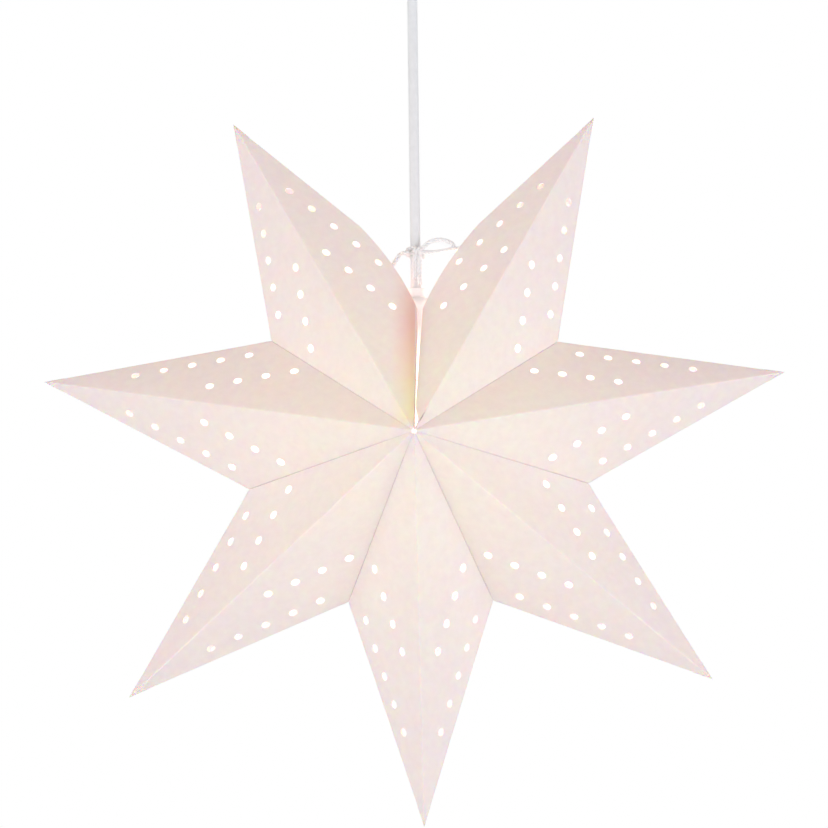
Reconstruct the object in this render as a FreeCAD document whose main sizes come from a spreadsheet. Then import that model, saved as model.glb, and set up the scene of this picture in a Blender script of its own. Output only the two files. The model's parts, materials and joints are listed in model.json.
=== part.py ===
import FreeCAD, Part
import math
import os
import re
import Sketcher
from FreeCAD import Placement, Rotation, Vector

# A pendant star lantern. Seven folded card sleeves are glued side by side into a flat star,
# and the two that meet at the top are tied round the lamp cord with a bow. The cord carries
# an E14 lampholder and a small bulb inside the star, and hangs from a cup on the ceiling.
#
# Millimetres. The origin is the centre of the ceiling plate's upper face, +Z is up, and the
# star's front looks towards -Y. Arms are numbered clockwise from the upper right, seen from
# the front, so arm 4 points straight down.

# Every size that can be set by itself: alias, value and what it measures.
SIZES = (
    # the star
    ("ceiling_drop", 340.0, "ceiling face to the star's centre"),
    ("tip_radius", 229.0, "star's centre to the tip of an arm"),
    ("notch_radius", 106.5, "star's centre to the notch between two arms"),
    ("half_depth", 75.0, "middle plane to the apex, front and back"),
    ("arm_pitch", 50.3, "angle from one arm to the next, degrees"),
    ("card_thickness", 0.4, "folded card"),
    ("glue_gap", 0.1, "glue between two arms, at the notch"),
    ("glue_flap_width", 12.0, "flap turned in along each seam"),
    ("apex_hole_radius", 1.5, "corner left open where all the arms meet"),
    ("slit_width", 1.5, "between the two arms that aren't glued"),
    ("slit_corner_height", 105.0, "star's centre up to the corner of a free panel"),
    ("trim_length", 47.0, "trimmed corner, along the crease"),
    ("trim_end_height", 80.0, "star's centre up to the end of the trimmed corner"),
    ("trim_bulge", 2.8, "rise of the trimmed edge over its chord"),
    ("lamp_clearance", 1.5, "round the lampholder, to the flaps beside it"),
    # punched holes
    ("hole_diameter", 5.0, "punched light hole"),
    ("outer_row_inset", 10.5, "outer row to the creased edge"),
    ("outer_row_start", 14.0, "notch to the first hole of the outer row, towards the tip"),
    ("outer_row_pitch", 17.4, "holes of the outer row"),
    ("outer_row_count", 5.0, "holes in the outer row"),
    ("inner_row_inset", 33.5, "inner row to the creased edge"),
    ("inner_row_start", 12.2, "first hole of the inner row, inwards of the notch"),
    ("inner_row_pitch", 17.0, "holes of the inner row"),
    ("inner_row_count", 4.0, "holes in the inner row"),
    ("free_row_shift", 5.5, "rows on a free panel, further in from the crease"),
    ("free_row_setback", 6.4, "rows on a free panel, further towards the tip"),
    # the tie
    ("string_diameter", 2.8, "tie string"),
    ("string_clearance", 0.15, "string to what it lies on"),
    ("tie_height", 117.1, "star's centre up to the bow"),
    ("string_run", 3.5, "string by the cord, before it bends towards the arm"),
    ("tie_share_left", 0.5, "part of the trimmed edge above the left string, from the tip's end"),
    ("tie_share_right", 0.31, "part of the trimmed edge above the right string"),
    ("knot_diameter", 6.0, "bow knot"),
    ("stopper_diameter", 5.6, "knot behind a tab"),
    ("bow_loop_reach", 22.0, "length of the bow's loop"),
    ("bow_loop_width", 5.0, "middle of one side of the loop to the other"),
    ("bow_loop_spread", 3.4, "ends of the loop inside the knot"),
    ("bow_loop_bend", 2.2, "inside radius of the loop's far end"),
    ("bow_tail_length", 20.0, "hanging end of the bow"),
    ("bow_tail_spacing", 3.0, "middle of one hanging end to the other"),
    ("bow_offset", 1.2, "cord's middle to the knot, to the right"),
    ("tab_setback", 4.0, "trimmed edge to the tab that holds the string"),
    ("tab_height", 9.0, "string tab"),
    ("tab_glue_gap", 0.15, "string tab to the panels it is glued to"),
    # cord
    ("cord_diameter", 6.3, "flexible lamp cord"),
    ("cord_clearance", 0.1, "cord in the holes it passes through"),
    ("core_diameter", 2.3, "insulated core of the cord"),
    ("core_spacing", 2.8, "middle of one core to the other"),
    ("core_bend", 1.5, "radius at the middle of a core's bend"),
    # lampholder
    ("holder_top_height", 95.0, "star's centre up to the top of the gland nut"),
    ("gland_height", 6.0, "gland nut"),
    ("gland_diameter", 12.4, "gland nut"),
    ("neck_diameter", 9.6, "threaded neck of the cap"),
    ("neck_height", 4.0, "threaded neck of the cap"),
    ("holder_diameter", 27.0, "cap and barrel"),
    ("holder_wall", 1.6, "cap and barrel"),
    ("cap_height", 23.0, "cap under the gland nut"),
    ("dome_round", 7.0, "shoulder of the cap"),
    ("barrel_height", 28.0, "barrel below the cap"),
    ("collar_height", 6.0, "barrel's collar inside the cap"),
    ("step_depth", 3.2, "barrel's shoulder down to the step for the insulating core"),
    ("barrel_bore_diameter", 18.8, "round the screw shell"),
    ("mouth_round", 0.7, "lip of the barrel's mouth"),
    ("thread_clearance", 0.1, "parts that screw or push together, on the radius"),
    ("insulator_diameter", 20.2, "insulating core of the holder"),
    ("insulator_height", 7.0, "insulating core of the holder"),
    ("contact_recess", 2.0, "pocket for the centre contact"),
    ("contact_diameter", 5.2, "centre contact"),
    ("contact_thickness", 0.6, "centre contact"),
    ("rivet_diameter", 2.0, "rivets through the insulating core"),
    ("shell_rivet_offset", 5.8, "rivet of the screw shell from the axis"),
    ("shell_bore_diameter", 14.5, "screw shell, over its thread"),
    ("shell_wall", 0.4, "screw shell"),
    ("shell_length", 21.0, "screw shell"),
    ("shell_mouth_diameter", 7.2, "hole for the tip contact"),
    ("terminal_width", 5.0, "holder's terminal block"),
    ("terminal_height", 5.0, "holder's terminal block"),
    ("terminal_screw_diameter", 3.0, "head of a terminal screw"),
    ("grip_height", 4.5, "cord grip inside the cap"),
    ("grip_diameter", 10.0, "cord grip inside the cap"),
    ("sheath_end", 1.0, "cord past the cord grip"),
    # bulb
    ("bulb_diameter", 45.0, "glass ball"),
    ("bulb_length", 78.0, "tip contact to the bottom of the glass"),
    ("bulb_wall", 0.8, "glass"),
    ("bulb_neck_diameter", 16.2, "glass neck"),
    ("bulb_neck_round", 14.0, "between neck and ball"),
    ("bulb_seat_gap", 0.05, "tip contact to the centre contact"),
    ("tip_diameter", 4.8, "tip contact"),
    ("tip_height", 1.6, "tip contact"),
    ("vitrite_height", 2.8, "dark glass round the tip contact"),
    ("thread_root_diameter", 12.9, "bulb cap between the threads"),
    ("thread_diameter", 13.9, "bulb cap over the threads"),
    ("thread_pitch", 2.822, "E14 screw thread"),
    ("thread_turns", 5.0, "turns on the bulb cap"),
    ("cap_wall", 0.25, "bulb cap"),
    ("cap_flare_height", 1.0, "bulb cap from its thread to its collar"),
    ("cap_collar_height", 3.0, "bulb cap's collar"),
    ("cap_collar_diameter", 17.0, "bulb cap's collar"),
    ("stem_length", 17.0, "glass stem inside the bulb"),
    ("stem_diameter", 5.0, "glass stem inside the bulb"),
    ("stem_flare_height", 6.8, "wide end of the glass stem"),
    ("wire_diameter", 0.6, "lead wires in the bulb"),
    ("wire_spacing", 2.5, "lead wires where they leave the stem"),
    ("wire_lead", 2.0, "lead wires, before they spread"),
    ("filament_diameter", 0.9, "coiled filament"),
    ("filament_half_span", 9.0, "bulb's axis to the end of the filament"),
    ("filament_drop", 12.0, "stem to the filament"),
    ("filament_sag", 3.0, "filament's ends down to its middle"),
    # ceiling fitting
    ("plate_clearance", 2.0, "edge of the ceiling plate to the cup's wall"),
    ("plate_thickness", 2.0, "ceiling plate"),
    ("fixing_spacing", 50.0, "ceiling screw holes"),
    ("fixing_diameter", 4.5, "ceiling screw holes"),
    ("entry_diameter", 14.0, "hole for the house wiring"),
    ("entry_offset", 16.0, "hole for the house wiring, behind the axis"),
    ("sheet_thickness", 1.5, "lugs and tab bent down from the plate"),
    ("lug_width", 12.0, "lug for a cup screw"),
    ("lug_height", 18.0, "lug for a cup screw"),
    ("lug_clearance", 0.3, "lug to the cup's wall"),
    ("tab_width", 18.0, "tab that the cord is clamped to"),
    ("clamp_tab_height", 24.0, "tab that the cord is clamped to"),
    ("clamp_height", 7.0, "cord clamp"),
    ("clamp_depth", 16.5, "ceiling face down to the cord clamp's middle"),
    ("clamp_thickness", 3.0, "cord clamp, over the cord"),
    ("clamp_screw_spacing", 12.0, "cord clamp's screws"),
    ("cup_diameter", 80.0, "ceiling cup"),
    ("cup_height", 45.0, "ceiling cup"),
    ("cup_wall", 2.0, "ceiling cup"),
    ("cup_round", 8.0, "lower edge of the cup"),
    ("cup_reveal", 0.4, "ceiling to the rim of the cup"),
    ("screw_diameter", 3.0, "cup and clamp screws"),
    ("screw_head_diameter", 5.6, "cup and clamp screws"),
    ("screw_head_height", 1.8, "cup and clamp screws"),
    ("screw_slot_width", 0.8, "driver slot"),
    ("screw_slot_depth", 0.8, "driver slot"),
    ("screw_depth", 12.0, "ceiling face down to the cup screws"),
    ("screw_clearance", 0.1, "screw in its hole, on the radius"),
    ("block_length", 22.0, "terminal block"),
    ("block_width", 14.0, "terminal block"),
    ("block_height", 12.0, "terminal block"),
    ("block_setback", 13.0, "cord's axis to the terminal block"),
    ("pole_spacing", 10.0, "poles of the terminal block"),
    ("block_screw_diameter", 3.4, "screws of the terminal block"),
    ("block_screw_depth", 3.0, "screws of the terminal block"),
    ("core_lift", 3.0, "sheath's end up to the cores' bend"),
    ("core_run", 3.3, "straight core in front of the terminal block"),
    # ball grommet, which lets the cord swing
    ("swing_centre_depth", 38.0, "ceiling face down to the ball's centre"),
    ("ball_diameter", 24.0, "cord grommet"),
    ("ball_half_height", 8.0, "cord grommet"),
    ("ball_clearance", 0.1, "grommet in its seat"),
    ("seat_wall", 3.0, "boss round the grommet"),
    ("seat_rise", 4.0, "boss above the ball's centre"),
    ("flare_angle", 21.0, "how far the cord may lean in the grommet, degrees"),
    ("cord_end_gap", 0.3, "swinging cord to the clamped cord above it"),
)

SHEET_WORD = re.compile(r"\b[a-z]+(?:_[a-z]+)+\b")

ARM_NUMBERS = range(1, 8)
LOWEST_ARM = 4
PUNCH_LENGTH = 4  # thicknesses of card
CORE_LEAD = 0.25  # straight share of a core's way, at each end
FILAMENT_FLAT = 1 / 3  # share of the filament's span that hangs level
BLOCK_SCREW_PLACES = (0.25, 0.75)  # shares of the terminal block's width
THREAD_START, THREAD_RISE, THREAD_FALL, THREAD_STOP = 0.75, 1.0, 1.25, 1.5  # turns down the cap


# %% the sheet, and expressions in its names

def make_sheet(doc):
    """Spreadsheet of the driving sizes, one row each."""
    sheet = doc.addObject("Spreadsheet::Sheet", "Sizes")
    for row, (alias, number, meaning) in enumerate(SIZES, start=1):
        sheet.set(f"A{row}", meaning)
        sheet.set(f"B{row}", str(number))
        sheet.setAlias(f"B{row}", alias)
    doc.recompute()
    return sheet


def bound(expression):
    """The same expression with every alias written as a cell of the sheet."""
    return SHEET_WORD.sub(lambda word: "Sizes." + word.group(0), expression)


def minus(expression):
    return f"(-{expression})"


def value(doc, expression):
    """Number that an expression in the sheet's names stands for."""
    return float(doc.Sizes.evalExpression(expression))


def bind(thing, **sizes):
    """Set properties to expressions in the sheet's names."""
    for name, expression in sizes.items():
        thing.setExpression(name, bound(expression))


# Heights that several pieces share, as expressions.
STAR = minus("ceiling_drop")
GLAND_TOP = f"({STAR} + holder_top_height)"
CAP_TOP = f"({GLAND_TOP} - gland_height)"
NECK_TOP = f"({CAP_TOP} + neck_height)"
CAP_BOTTOM = f"({CAP_TOP} - cap_height)"
CAP_CEILING = f"({CAP_TOP} - holder_wall)"
BARREL_BOTTOM = f"({CAP_BOTTOM} - barrel_height)"
INSULATOR_BOTTOM = f"({CAP_BOTTOM} - step_depth)"
INSULATOR_TOP = f"({INSULATOR_BOTTOM} + insulator_height)"
BULB_TOP = f"({INSULATOR_BOTTOM} - bulb_seat_gap)"
GRIP_BOTTOM = f"({CAP_CEILING} - grip_height)"
CORD_BOTTOM = f"({GRIP_BOTTOM} - sheath_end)"
VITRITE_TOP = f"({BULB_TOP} - tip_height)"
BULB_CAP_TOP = f"({VITRITE_TOP} - vitrite_height)"
THREAD_END = f"({BULB_CAP_TOP} - (thread_turns + 1) * thread_pitch)"
COLLAR_TOP = f"({THREAD_END} - cap_flare_height)"
COLLAR_BOTTOM = f"({COLLAR_TOP} - cap_collar_height)"
NECK_END = f"({COLLAR_BOTTOM} + cap_collar_height / 2)"
BALL_CENTRE = f"({BULB_TOP} - bulb_length + bulb_diameter / 2)"
STEM_BOTTOM = f"({NECK_END} - stem_length)"
FILAMENT = f"({STEM_BOTTOM} - filament_drop)"
SWING = minus("swing_centre_depth")
CORD_BORE = "(cord_diameter / 2 + cord_clearance)"
UPPER_CORD_BOTTOM = f"({SWING} + cord_diameter / 2 + cord_end_gap)"
UPPER_CORD_TOP = "(clamp_height - clamp_depth)"
SCREW_HOLE = "(screw_diameter / 2 + screw_clearance)"


# %% sketches and features

def origin_plane(body, role):
    return next(item for item in body.Origin.OriginFeatures if item.Role == role)


def new_sketch(body, plane, offset):
    sketch = body.newObject("Sketcher::SketchObject", "Sketch")
    sketch.AttachmentSupport = (origin_plane(body, plane), [""])
    sketch.MapMode = "FlatFace"
    sketch.setExpression("AttachmentOffset.Base.z", bound(offset))
    return sketch


def pin_down(sketch, geometry, position, corner):
    """Tie one point of a sketch to its pair of expressions."""
    for kind, axis, expression in zip(("DistanceX", "DistanceY"), (-2, -1), corner):
        if expression == "0":
            sketch.addConstraint(Sketcher.Constraint("PointOnObject", geometry, position, axis))
        else:
            number = value(sketch.Document, expression)
            spot = sketch.addConstraint(Sketcher.Constraint(kind, -1, 1, geometry, position, number))
            sketch.setExpression(f"Constraints[{spot}]", bound(expression))


def outline(body, plane, corners, offset="0"):
    """Closed outline of straight sides, with every corner tied to the sheet."""
    sketch = new_sketch(body, plane, offset)
    places = [Vector(*(value(body.Document, part) for part in corner)) for corner in corners]
    for start, end in zip(places, places[1:] + places[:1]):
        sketch.addGeometry(Part.LineSegment(start, end), False)
    for side in range(len(corners)):
        after = (side + 1) % len(corners)
        sketch.addConstraint(Sketcher.Constraint("Coincident", side, 2, after, 1))
    for side, corner in enumerate(corners):
        pin_down(sketch, side, 1, corner)
    return sketch


def box_outline(body, plane, low, high, offset="0"):
    corners = [low, (high[0], low[1]), high, (low[0], high[1])]
    return outline(body, plane, corners, offset)


def rounds(body, plane, circles, offset="0"):
    """Circles given as x, y and radius."""
    sketch = new_sketch(body, plane, offset)
    for index, (across, along, radius) in enumerate(circles):
        centre = Vector(value(body.Document, across), value(body.Document, along), 0)
        size = value(body.Document, radius)
        sketch.addGeometry(Part.Circle(centre, Vector(0, 0, 1), size), False)
        spot = sketch.addConstraint(Sketcher.Constraint("Radius", index, size))
        sketch.setExpression(f"Constraints[{spot}]", bound(radius))
        pin_down(sketch, index, 3, (across, along))
    return sketch


def new_body(doc, label):
    body = doc.addObject("PartDesign::Body", label)
    body.Label = label
    return body


def feature(body, kind, sketch, **properties):
    """Solid feature on a sketch; lengths given as text are bound to the sheet."""
    made = body.newObject(f"PartDesign::{kind}", kind)
    made.Profile = sketch
    for name, setting in properties.items():
        if isinstance(setting, str) and name in ("Length", "Angle"):
            made.setExpression(name, bound(setting))
        else:
            setattr(made, name, setting)
    body.Document.recompute()
    return made


def pad(body, sketch, length, **more):
    return feature(body, "Pad", sketch, Length=length, **more)


def drill(body, sketch):
    """Cut right through the body, both ways from the sketch."""
    before = body.Shape.Volume
    cut = feature(body, "Pocket", sketch, Type="ThroughAll", SideType="Symmetric")
    if body.Shape.Volume >= before:
        raise RuntimeError(f"{body.Label}: a pocket cuts nothing")
    return cut


def turned(doc, label, corners):
    """Body turned about Z from an outline of radius and height."""
    body = new_body(doc, label)
    sketch = outline(body, "XZ_Plane", corners)
    feature(body, "Revolution", sketch, ReferenceAxis=(sketch, ["V_Axis"]), Angle=360)
    return body


def ring_edges(shape, places):
    """Numbers of the circular edges about Z that lie at these pairs of radius and height."""
    found = []
    for number, edge in enumerate(shape.Edges, start=1):
        if not edge.Degenerated and isinstance(edge.Curve, Part.Circle):
            here = (edge.Curve.Radius, edge.Curve.Center.z)
            if any(math.dist(here, place) < 0.01 for place in places):
                found.append(number)
    return found


def soften(body, radius, *corners):
    """Fillet the round edges that lie at these pairs of radius and height."""
    doc = body.Document
    places = [(value(doc, across), value(doc, height)) for across, height in corners]
    base = body.Tip
    names = [f"Edge{number}" for number in ring_edges(base.Shape, places)]
    fillet = body.newObject("PartDesign::Fillet", "Fillet")
    fillet.Base = (base, names)
    fillet.setExpression("Radius", bound(radius))
    doc.recompute()


def solid(doc, kind, centre, turn=None, **sizes):
    """Part primitive with its sizes and place bound to the sheet."""
    made = doc.addObject(f"Part::{kind}", kind)
    bind(made, **sizes)
    for axis, expression in zip("xyz", centre):
        made.setExpression(f"Placement.Base.{axis}", bound(expression))
    if turn:
        made.Placement.Rotation = turn
    return made


def joined(doc, label, pieces):
    fused = doc.addObject("Part::MultiFuse", label)
    fused.Shapes = pieces
    fused.Label = label
    return fused


def grouped(doc, label, pieces):
    """Separate solids kept in one node."""
    group = doc.addObject("Part::Compound", label)
    group.Links = pieces
    group.Label = label
    return group


def cut(doc, label, base, tool):
    rest = doc.addObject("Part::Cut", label)
    rest.Base = base
    rest.Tool = tool
    rest.Label = label
    return rest


def shaped(doc, label, shape, placement=None):
    """Piece whose shape is worked out below from the sheet's sizes."""
    made = doc.addObject("Part::Feature", label)
    made.Label = label
    made.Shape = shape
    if placement:
        made.Placement = placement
    return made


class Sizes:
    """The sheet's numbers as plain attributes, for shapes that code works out."""

    def __init__(self, sheet):
        for alias, _, _ in SIZES:
            setattr(self, alias, float(getattr(sheet, alias)))


# %% round bars for strings, cores and wires

def rounded_path(points, bend):
    """Straight runs joined by tangent arcs of one radius."""
    edges = []
    start = points[0]
    for before, corner, after in zip(points, points[1:], points[2:]):
        back = (before - corner).normalize()
        ahead = (after - corner).normalize()
        half = back.getAngle(ahead) / 2
        reach = bend / math.tan(half)
        middle = (back + ahead).normalize() * (bend / math.sin(half) - bend)
        edges.append(Part.LineSegment(start, corner + back * reach).toShape())
        arc = Part.Arc(corner + back * reach, corner + middle, corner + ahead * reach)
        edges.append(arc.toShape())
        start = corner + ahead * reach
    edges.append(Part.LineSegment(start, points[-1]).toShape())
    return Part.Wire(edges)


def bar(points, diameter, bend=0.0):
    """Round bar along a path, with flat ends."""
    path = rounded_path(points, bend)
    ring = Part.Wire(Part.makeCircle(diameter / 2, points[0], points[1] - points[0]))
    made = path.makePipeShell([ring], True, False)
    expected = math.pi * diameter ** 2 / 4 * path.Length
    if abs(made.Volume - expected) > 0.02 * expected:
        raise RuntimeError("a round bar has the wrong volume")
    return made


# %% card sleeves

def in_plane(radius, degrees):
    """Point of the star's middle plane, in an arm's own frame: the arm points along +X."""
    angle = math.radians(degrees)
    return Vector(radius * math.cos(angle), 0, radius * math.sin(angle))


def free_half_angle(size):
    """Angle from the last arm's middle to the vertical, where the slit is."""
    return 180 - (len(ARM_NUMBERS) - LOWEST_ARM) * size.arm_pitch


def glued_corner(size):
    """Notch of a glued side, short of the seam by half of the glue."""
    glue = math.degrees(size.glue_gap / 2 / size.notch_radius)
    return in_plane(size.notch_radius, size.arm_pitch / 2 - glue)


def free_corner(size):
    """Notch of a free side, half of the slit from the vertical."""
    upright = free_half_angle(size)
    return in_plane(size.slit_corner_height, upright) + in_plane(size.slit_width / 2, upright - 90)


def prism(points, direction):
    """Solid with these corners as its base."""
    return Part.Face(Part.makePolygon(points + points[:1])).extrude(direction)


def closed_solid(corner_lists):
    """Solid with flat faces, each given by its corners."""
    faces = [Part.Face(Part.makePolygon(corners + corners[:1])) for corners in corner_lists]
    return Part.makeSolid(Part.makeShell(faces))


def card_block(size, corners):
    """The sleeve's outside as a full block: two apexes, a tip and the two notch corners."""
    tip = Vector(size.tip_radius, 0, 0)
    front, back = Vector(0, -size.half_depth, 0), Vector(0, size.half_depth, 0)
    faces = []
    for corner in corners:
        faces += [[tip, corner, front], [tip, corner, back], [front, corner, back]]
    return closed_solid(faces)


def panel_plane(size, corner, apex, inset):
    """Normal and offset of one panel's plane, moved inwards."""
    normal = (corner - Vector(size.tip_radius, 0, 0)).cross(apex - corner).normalize()
    if normal.dot(apex) < 0:
        normal = normal * -1
    return normal, normal.dot(apex) - inset


def meeting(first, second, third):
    """Point where three planes meet."""
    total = Vector(0, 0, 0)
    for (near, offset), (ahead, _), (after, _) in (
            (first, second, third), (second, third, first), (third, first, second)):
        total += ahead.cross(after) * offset
    return total / first[0].dot(second[0].cross(third[0]))


def sleeve_hollow(size, corners):
    """Four-sided pyramid inside the panels, open past the star's axis."""
    upper, lower = corners
    front, back = Vector(0, -size.half_depth, 0), Vector(0, size.half_depth, 0)
    walls = [panel_plane(size, corner, apex, size.card_thickness)
             for corner, apex in ((upper, front), (lower, front), (lower, back), (upper, back))]
    past_axis = (Vector(1, 0, 0), -size.glue_flap_width)
    tip = meeting(*walls[:3])
    rim = [meeting(wall, after, past_axis) for wall, after in zip(walls, walls[1:] + walls[:1])]
    sides = [[tip, near, far] for near, far in zip(rim, rim[1:] + rim[:1])]
    return closed_solid(sides + [rim])


def seam_flaps(size, corner):
    """Flaps turned in along both edges of a seam: a slab in the seam with a window in it."""
    radius = corner.Length
    outward = corner / radius
    across = Vector(0, 1, 0).cross(outward)
    if across.z * corner.z < 0:
        across = across * -1
    slope = math.hypot(radius, size.half_depth)
    depth = size.half_depth - size.glue_flap_width * slope / radius
    reach = radius - size.glue_flap_width * slope / size.half_depth
    wide = Vector(0, 2 * size.half_depth, 0)
    behind, beyond = outward * -size.glue_flap_width, outward * 2 * radius
    inwards = across * (-2 * size.card_thickness)
    lift = across * size.card_thickness
    slab = prism([behind - wide + lift, beyond - wide + lift, beyond + wide + lift,
                  behind + wide + lift], inwards)
    high = Vector(0, depth, 0)
    window = prism([point + lift * 2 for point in
                    (behind - high, high * -1, outward * reach, high, behind + high)], inwards * 2)
    return slab.cut(window)


def light_holes(size, tip, corner, apex, free):
    """Punches for one panel: a long row by the crease and a short row further in."""
    along = (tip - corner).normalize()
    normal = along.cross(apex - tip).normalize()
    inward = normal.cross(along)
    if inward.dot(apex - corner) < 0:
        inward = inward * -1
    reach = PUNCH_LENGTH * size.card_thickness
    shift, setback = (size.free_row_shift, size.free_row_setback) if free else (0.0, 0.0)
    rows = (
        (size.outer_row_inset, size.outer_row_start, size.outer_row_pitch, size.outer_row_count),
        (size.inner_row_inset, -size.inner_row_start, size.inner_row_pitch, size.inner_row_count),
    )
    punches = []
    for inset, start, pitch, count in rows:
        for step in range(int(count)):
            centre = corner + along * (start + setback + step * pitch) + inward * (inset + shift)
            base = centre - normal * reach / 2
            punches.append(Part.makeCylinder(size.hole_diameter / 2, reach, base, normal))
    return punches


def trim_points(size, tip, corner):
    """Start, middle and end of a free panel's trimmed edge, in the star's plane."""
    start = corner + (tip - corner).normalize() * size.trim_length
    end = corner * (size.trim_end_height / size.slit_corner_height)
    chord = (end - start).normalize()
    outward = (corner - start) - chord * (corner - start).dot(chord)
    middle = (start + end) / 2 + outward.normalize() * size.trim_bulge
    return start, middle, end


def trimmed_edge_point(size, tip, corner, share):
    """Point on the trimmed edge, that share of its way from the tip's end to the slit."""
    edge = Part.Arc(*trim_points(size, tip, corner))
    return edge.value(edge.FirstParameter + share * (edge.LastParameter - edge.FirstParameter))


def trimming(size, tip, corner):
    """What is trimmed off a free corner, front and back, as one upright punch."""
    start, middle, end = trim_points(size, tip, corner)
    outside = corner * 2
    edges = [Part.Arc(start, middle, end).toShape(), Part.makeLine(end, end + (outside - start)),
             Part.makeLine(end + (outside - start), outside + (start - end)),
             Part.makeLine(outside + (start - end), start)]
    punch = Part.Face(Part.Wire(edges))
    depth = 2 * size.half_depth
    punch.translate(Vector(0, -depth, 0))
    return punch.extrude(Vector(0, 2 * depth, 0))


def lamp_space(size, side):
    """Upright cylinder that keeps the free flaps clear of the lampholder."""
    upward = in_plane(1, side * free_half_angle(size))
    radius = size.holder_diameter / 2 + size.lamp_clearance
    return Part.makeCylinder(radius, size.tip_radius, Vector(0, 0, 0), upward)


def sleeve(size, free_side=0):
    """One folded card arm. free_side is 1 or -1 where a side isn't glued to a neighbour."""
    tip = Vector(size.tip_radius, 0, 0)
    corners = []
    tools = []
    for side in (1, -1):
        free = side == free_side
        corner = free_corner(size) if free else glued_corner(size)
        corner = Vector(corner.x, 0, side * corner.z)
        corners.append(corner)
        for face in (-1, 1):
            tools += light_holes(size, tip, corner, Vector(0, face * size.half_depth, 0), free)
        if free:
            tools += [trimming(size, tip, corner), lamp_space(size, side)]
    hollow = sleeve_hollow(size, corners).cut([seam_flaps(size, corner) for corner in corners])
    width = 2 * size.half_depth
    front = Vector(0, -width, 0)
    tools.append(Part.makeCylinder(size.apex_hole_radius, 2 * width, front, front * -1))
    return card_block(size, corners).cut([hollow] + tools)


def arm_angle(size, number):
    """Direction of an arm, anticlockwise from +X seen from the front."""
    return (LOWEST_ARM - number) * size.arm_pitch - 90


def make_arms(doc, size):
    plain = sleeve(size)
    ends = {ARM_NUMBERS[0]: sleeve(size, 1), ARM_NUMBERS[-1]: sleeve(size, -1)}
    centre = Vector(0, 0, -size.ceiling_drop)
    arms = []
    for number in ARM_NUMBERS:
        turn = Rotation(Vector(0, -1, 0), arm_angle(size, number))
        shape = ends.get(number, plain)
        arms.append(shaped(doc, f"arm_{number}", shape, Placement(centre, turn)))
    return arms


# %% the tie that closes the star round the cord

def free_panel_depth(size, point):
    """Half of the space between front and back free panels, at a point of the right arm."""
    tip = in_plane(size.tip_radius, 90 - free_half_angle(size))
    corner = Vector(size.slit_width / 2, 0, size.slit_corner_height)
    apex = Vector(0, -size.half_depth, 0)
    normal = (tip - apex).cross(corner - apex)
    fall = (normal.x * point.x + normal.z * point.z) / normal.y
    return size.half_depth + fall - size.card_thickness * normal.Length / abs(normal.y)


def tie_line(size, share):
    """Right string: its start by the cord, its bend, its way past the trimmed edge and direction."""
    tip = in_plane(size.tip_radius, 90 - free_half_angle(size))
    corner = Vector(size.slit_width / 2, 0, size.slit_corner_height)
    edge = trimmed_edge_point(size, tip, corner, share)
    wrap = size.cord_diameter / 2 + size.string_diameter + 2 * size.string_clearance
    start = Vector(wrap, 0, size.tie_height)
    bend = start + Vector(size.string_run, 0, 0)
    return start, bend, edge, (edge - bend).normalize()


def string_tab(size, middle, ahead):
    """Card tab glued across the inside of an arm, with a hole for the string."""
    upward = Vector(-ahead.z, 0, ahead.x)
    corners = []
    for rise in (-size.tab_height / 2, size.tab_height / 2):
        spot = middle + upward * rise
        depth = free_panel_depth(size, spot) - size.tab_glue_gap
        corners.append((spot, depth))
    (low, low_depth), (high, high_depth) = corners
    across = Vector(0, 1, 0)
    points = [low - across * low_depth, high - across * high_depth]
    points += [high + across * high_depth, low + across * low_depth]
    card = prism(points, ahead * size.card_thickness)
    radius = size.string_diameter / 2 + size.string_clearance
    base = middle - ahead * size.card_thickness
    punch = Part.makeCylinder(radius, PUNCH_LENGTH * size.card_thickness, base, ahead)
    return card.cut(punch)


def make_tie_side(doc, size, name, mirrored):
    """String from the bow into one arm, with the tab and knot that hold it there."""
    share = size.tie_share_left if mirrored else size.tie_share_right
    start, bend, mouth, ahead = tie_line(size, share)
    tab_middle = mouth + ahead * size.tab_setback
    knot_start = tab_middle + ahead * (size.card_thickness + size.string_clearance)
    knot_centre = knot_start + ahead * size.stopper_diameter / 2
    string = bar([start, bend, knot_centre], size.string_diameter, size.string_diameter)
    knot = Part.makeSphere(size.stopper_diameter / 2, knot_centre)
    shapes = {"tie_string": string.fuse(knot), "string_tab": string_tab(size, tab_middle, ahead)}
    made = []
    for piece, shape in shapes.items():
        if mirrored:
            shape = shape.mirror(Vector(0, 0, 0), Vector(1, 0, 0))
        place = Placement(Vector(0, 0, -size.ceiling_drop), Rotation())
        made.append(shaped(doc, f"{piece}_{name}", shape, place))
    return made


def make_bow(doc, size):
    """String wound once round the cord and tied in front of it, with a loop and two tails."""
    winding = size.cord_diameter / 2 + size.string_clearance + size.string_diameter / 2
    middle = Vector(0, 0, size.tie_height)
    ring = Part.makeTorus(winding, size.string_diameter / 2, middle)
    knot_radius = size.knot_diameter / 2
    knot = middle + Vector(size.bow_offset, -winding - knot_radius, 0)
    apart = Vector(0, 0, size.bow_loop_spread / 2)
    far = knot + Vector(size.bow_loop_reach, 0, 0)
    loop = [knot - apart, far, far + Vector(0, 0, size.bow_loop_width), knot + apart]
    shapes = [Part.makeSphere(knot_radius, knot)]
    shapes.append(bar(loop, size.string_diameter, size.bow_loop_bend))
    for side in (-1, 1):
        aside = Vector(side * size.bow_tail_spacing / 2, 0, 0)
        end = knot + aside - Vector(0, 0, size.bow_tail_length)
        shapes.append(bar([knot + aside, end], size.string_diameter))
    whole = ring.fuse(shapes).removeSplitter()
    place = Placement(Vector(0, 0, -size.ceiling_drop), Rotation())
    return shaped(doc, "tie_bow", whole, place)


# %% cord

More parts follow.
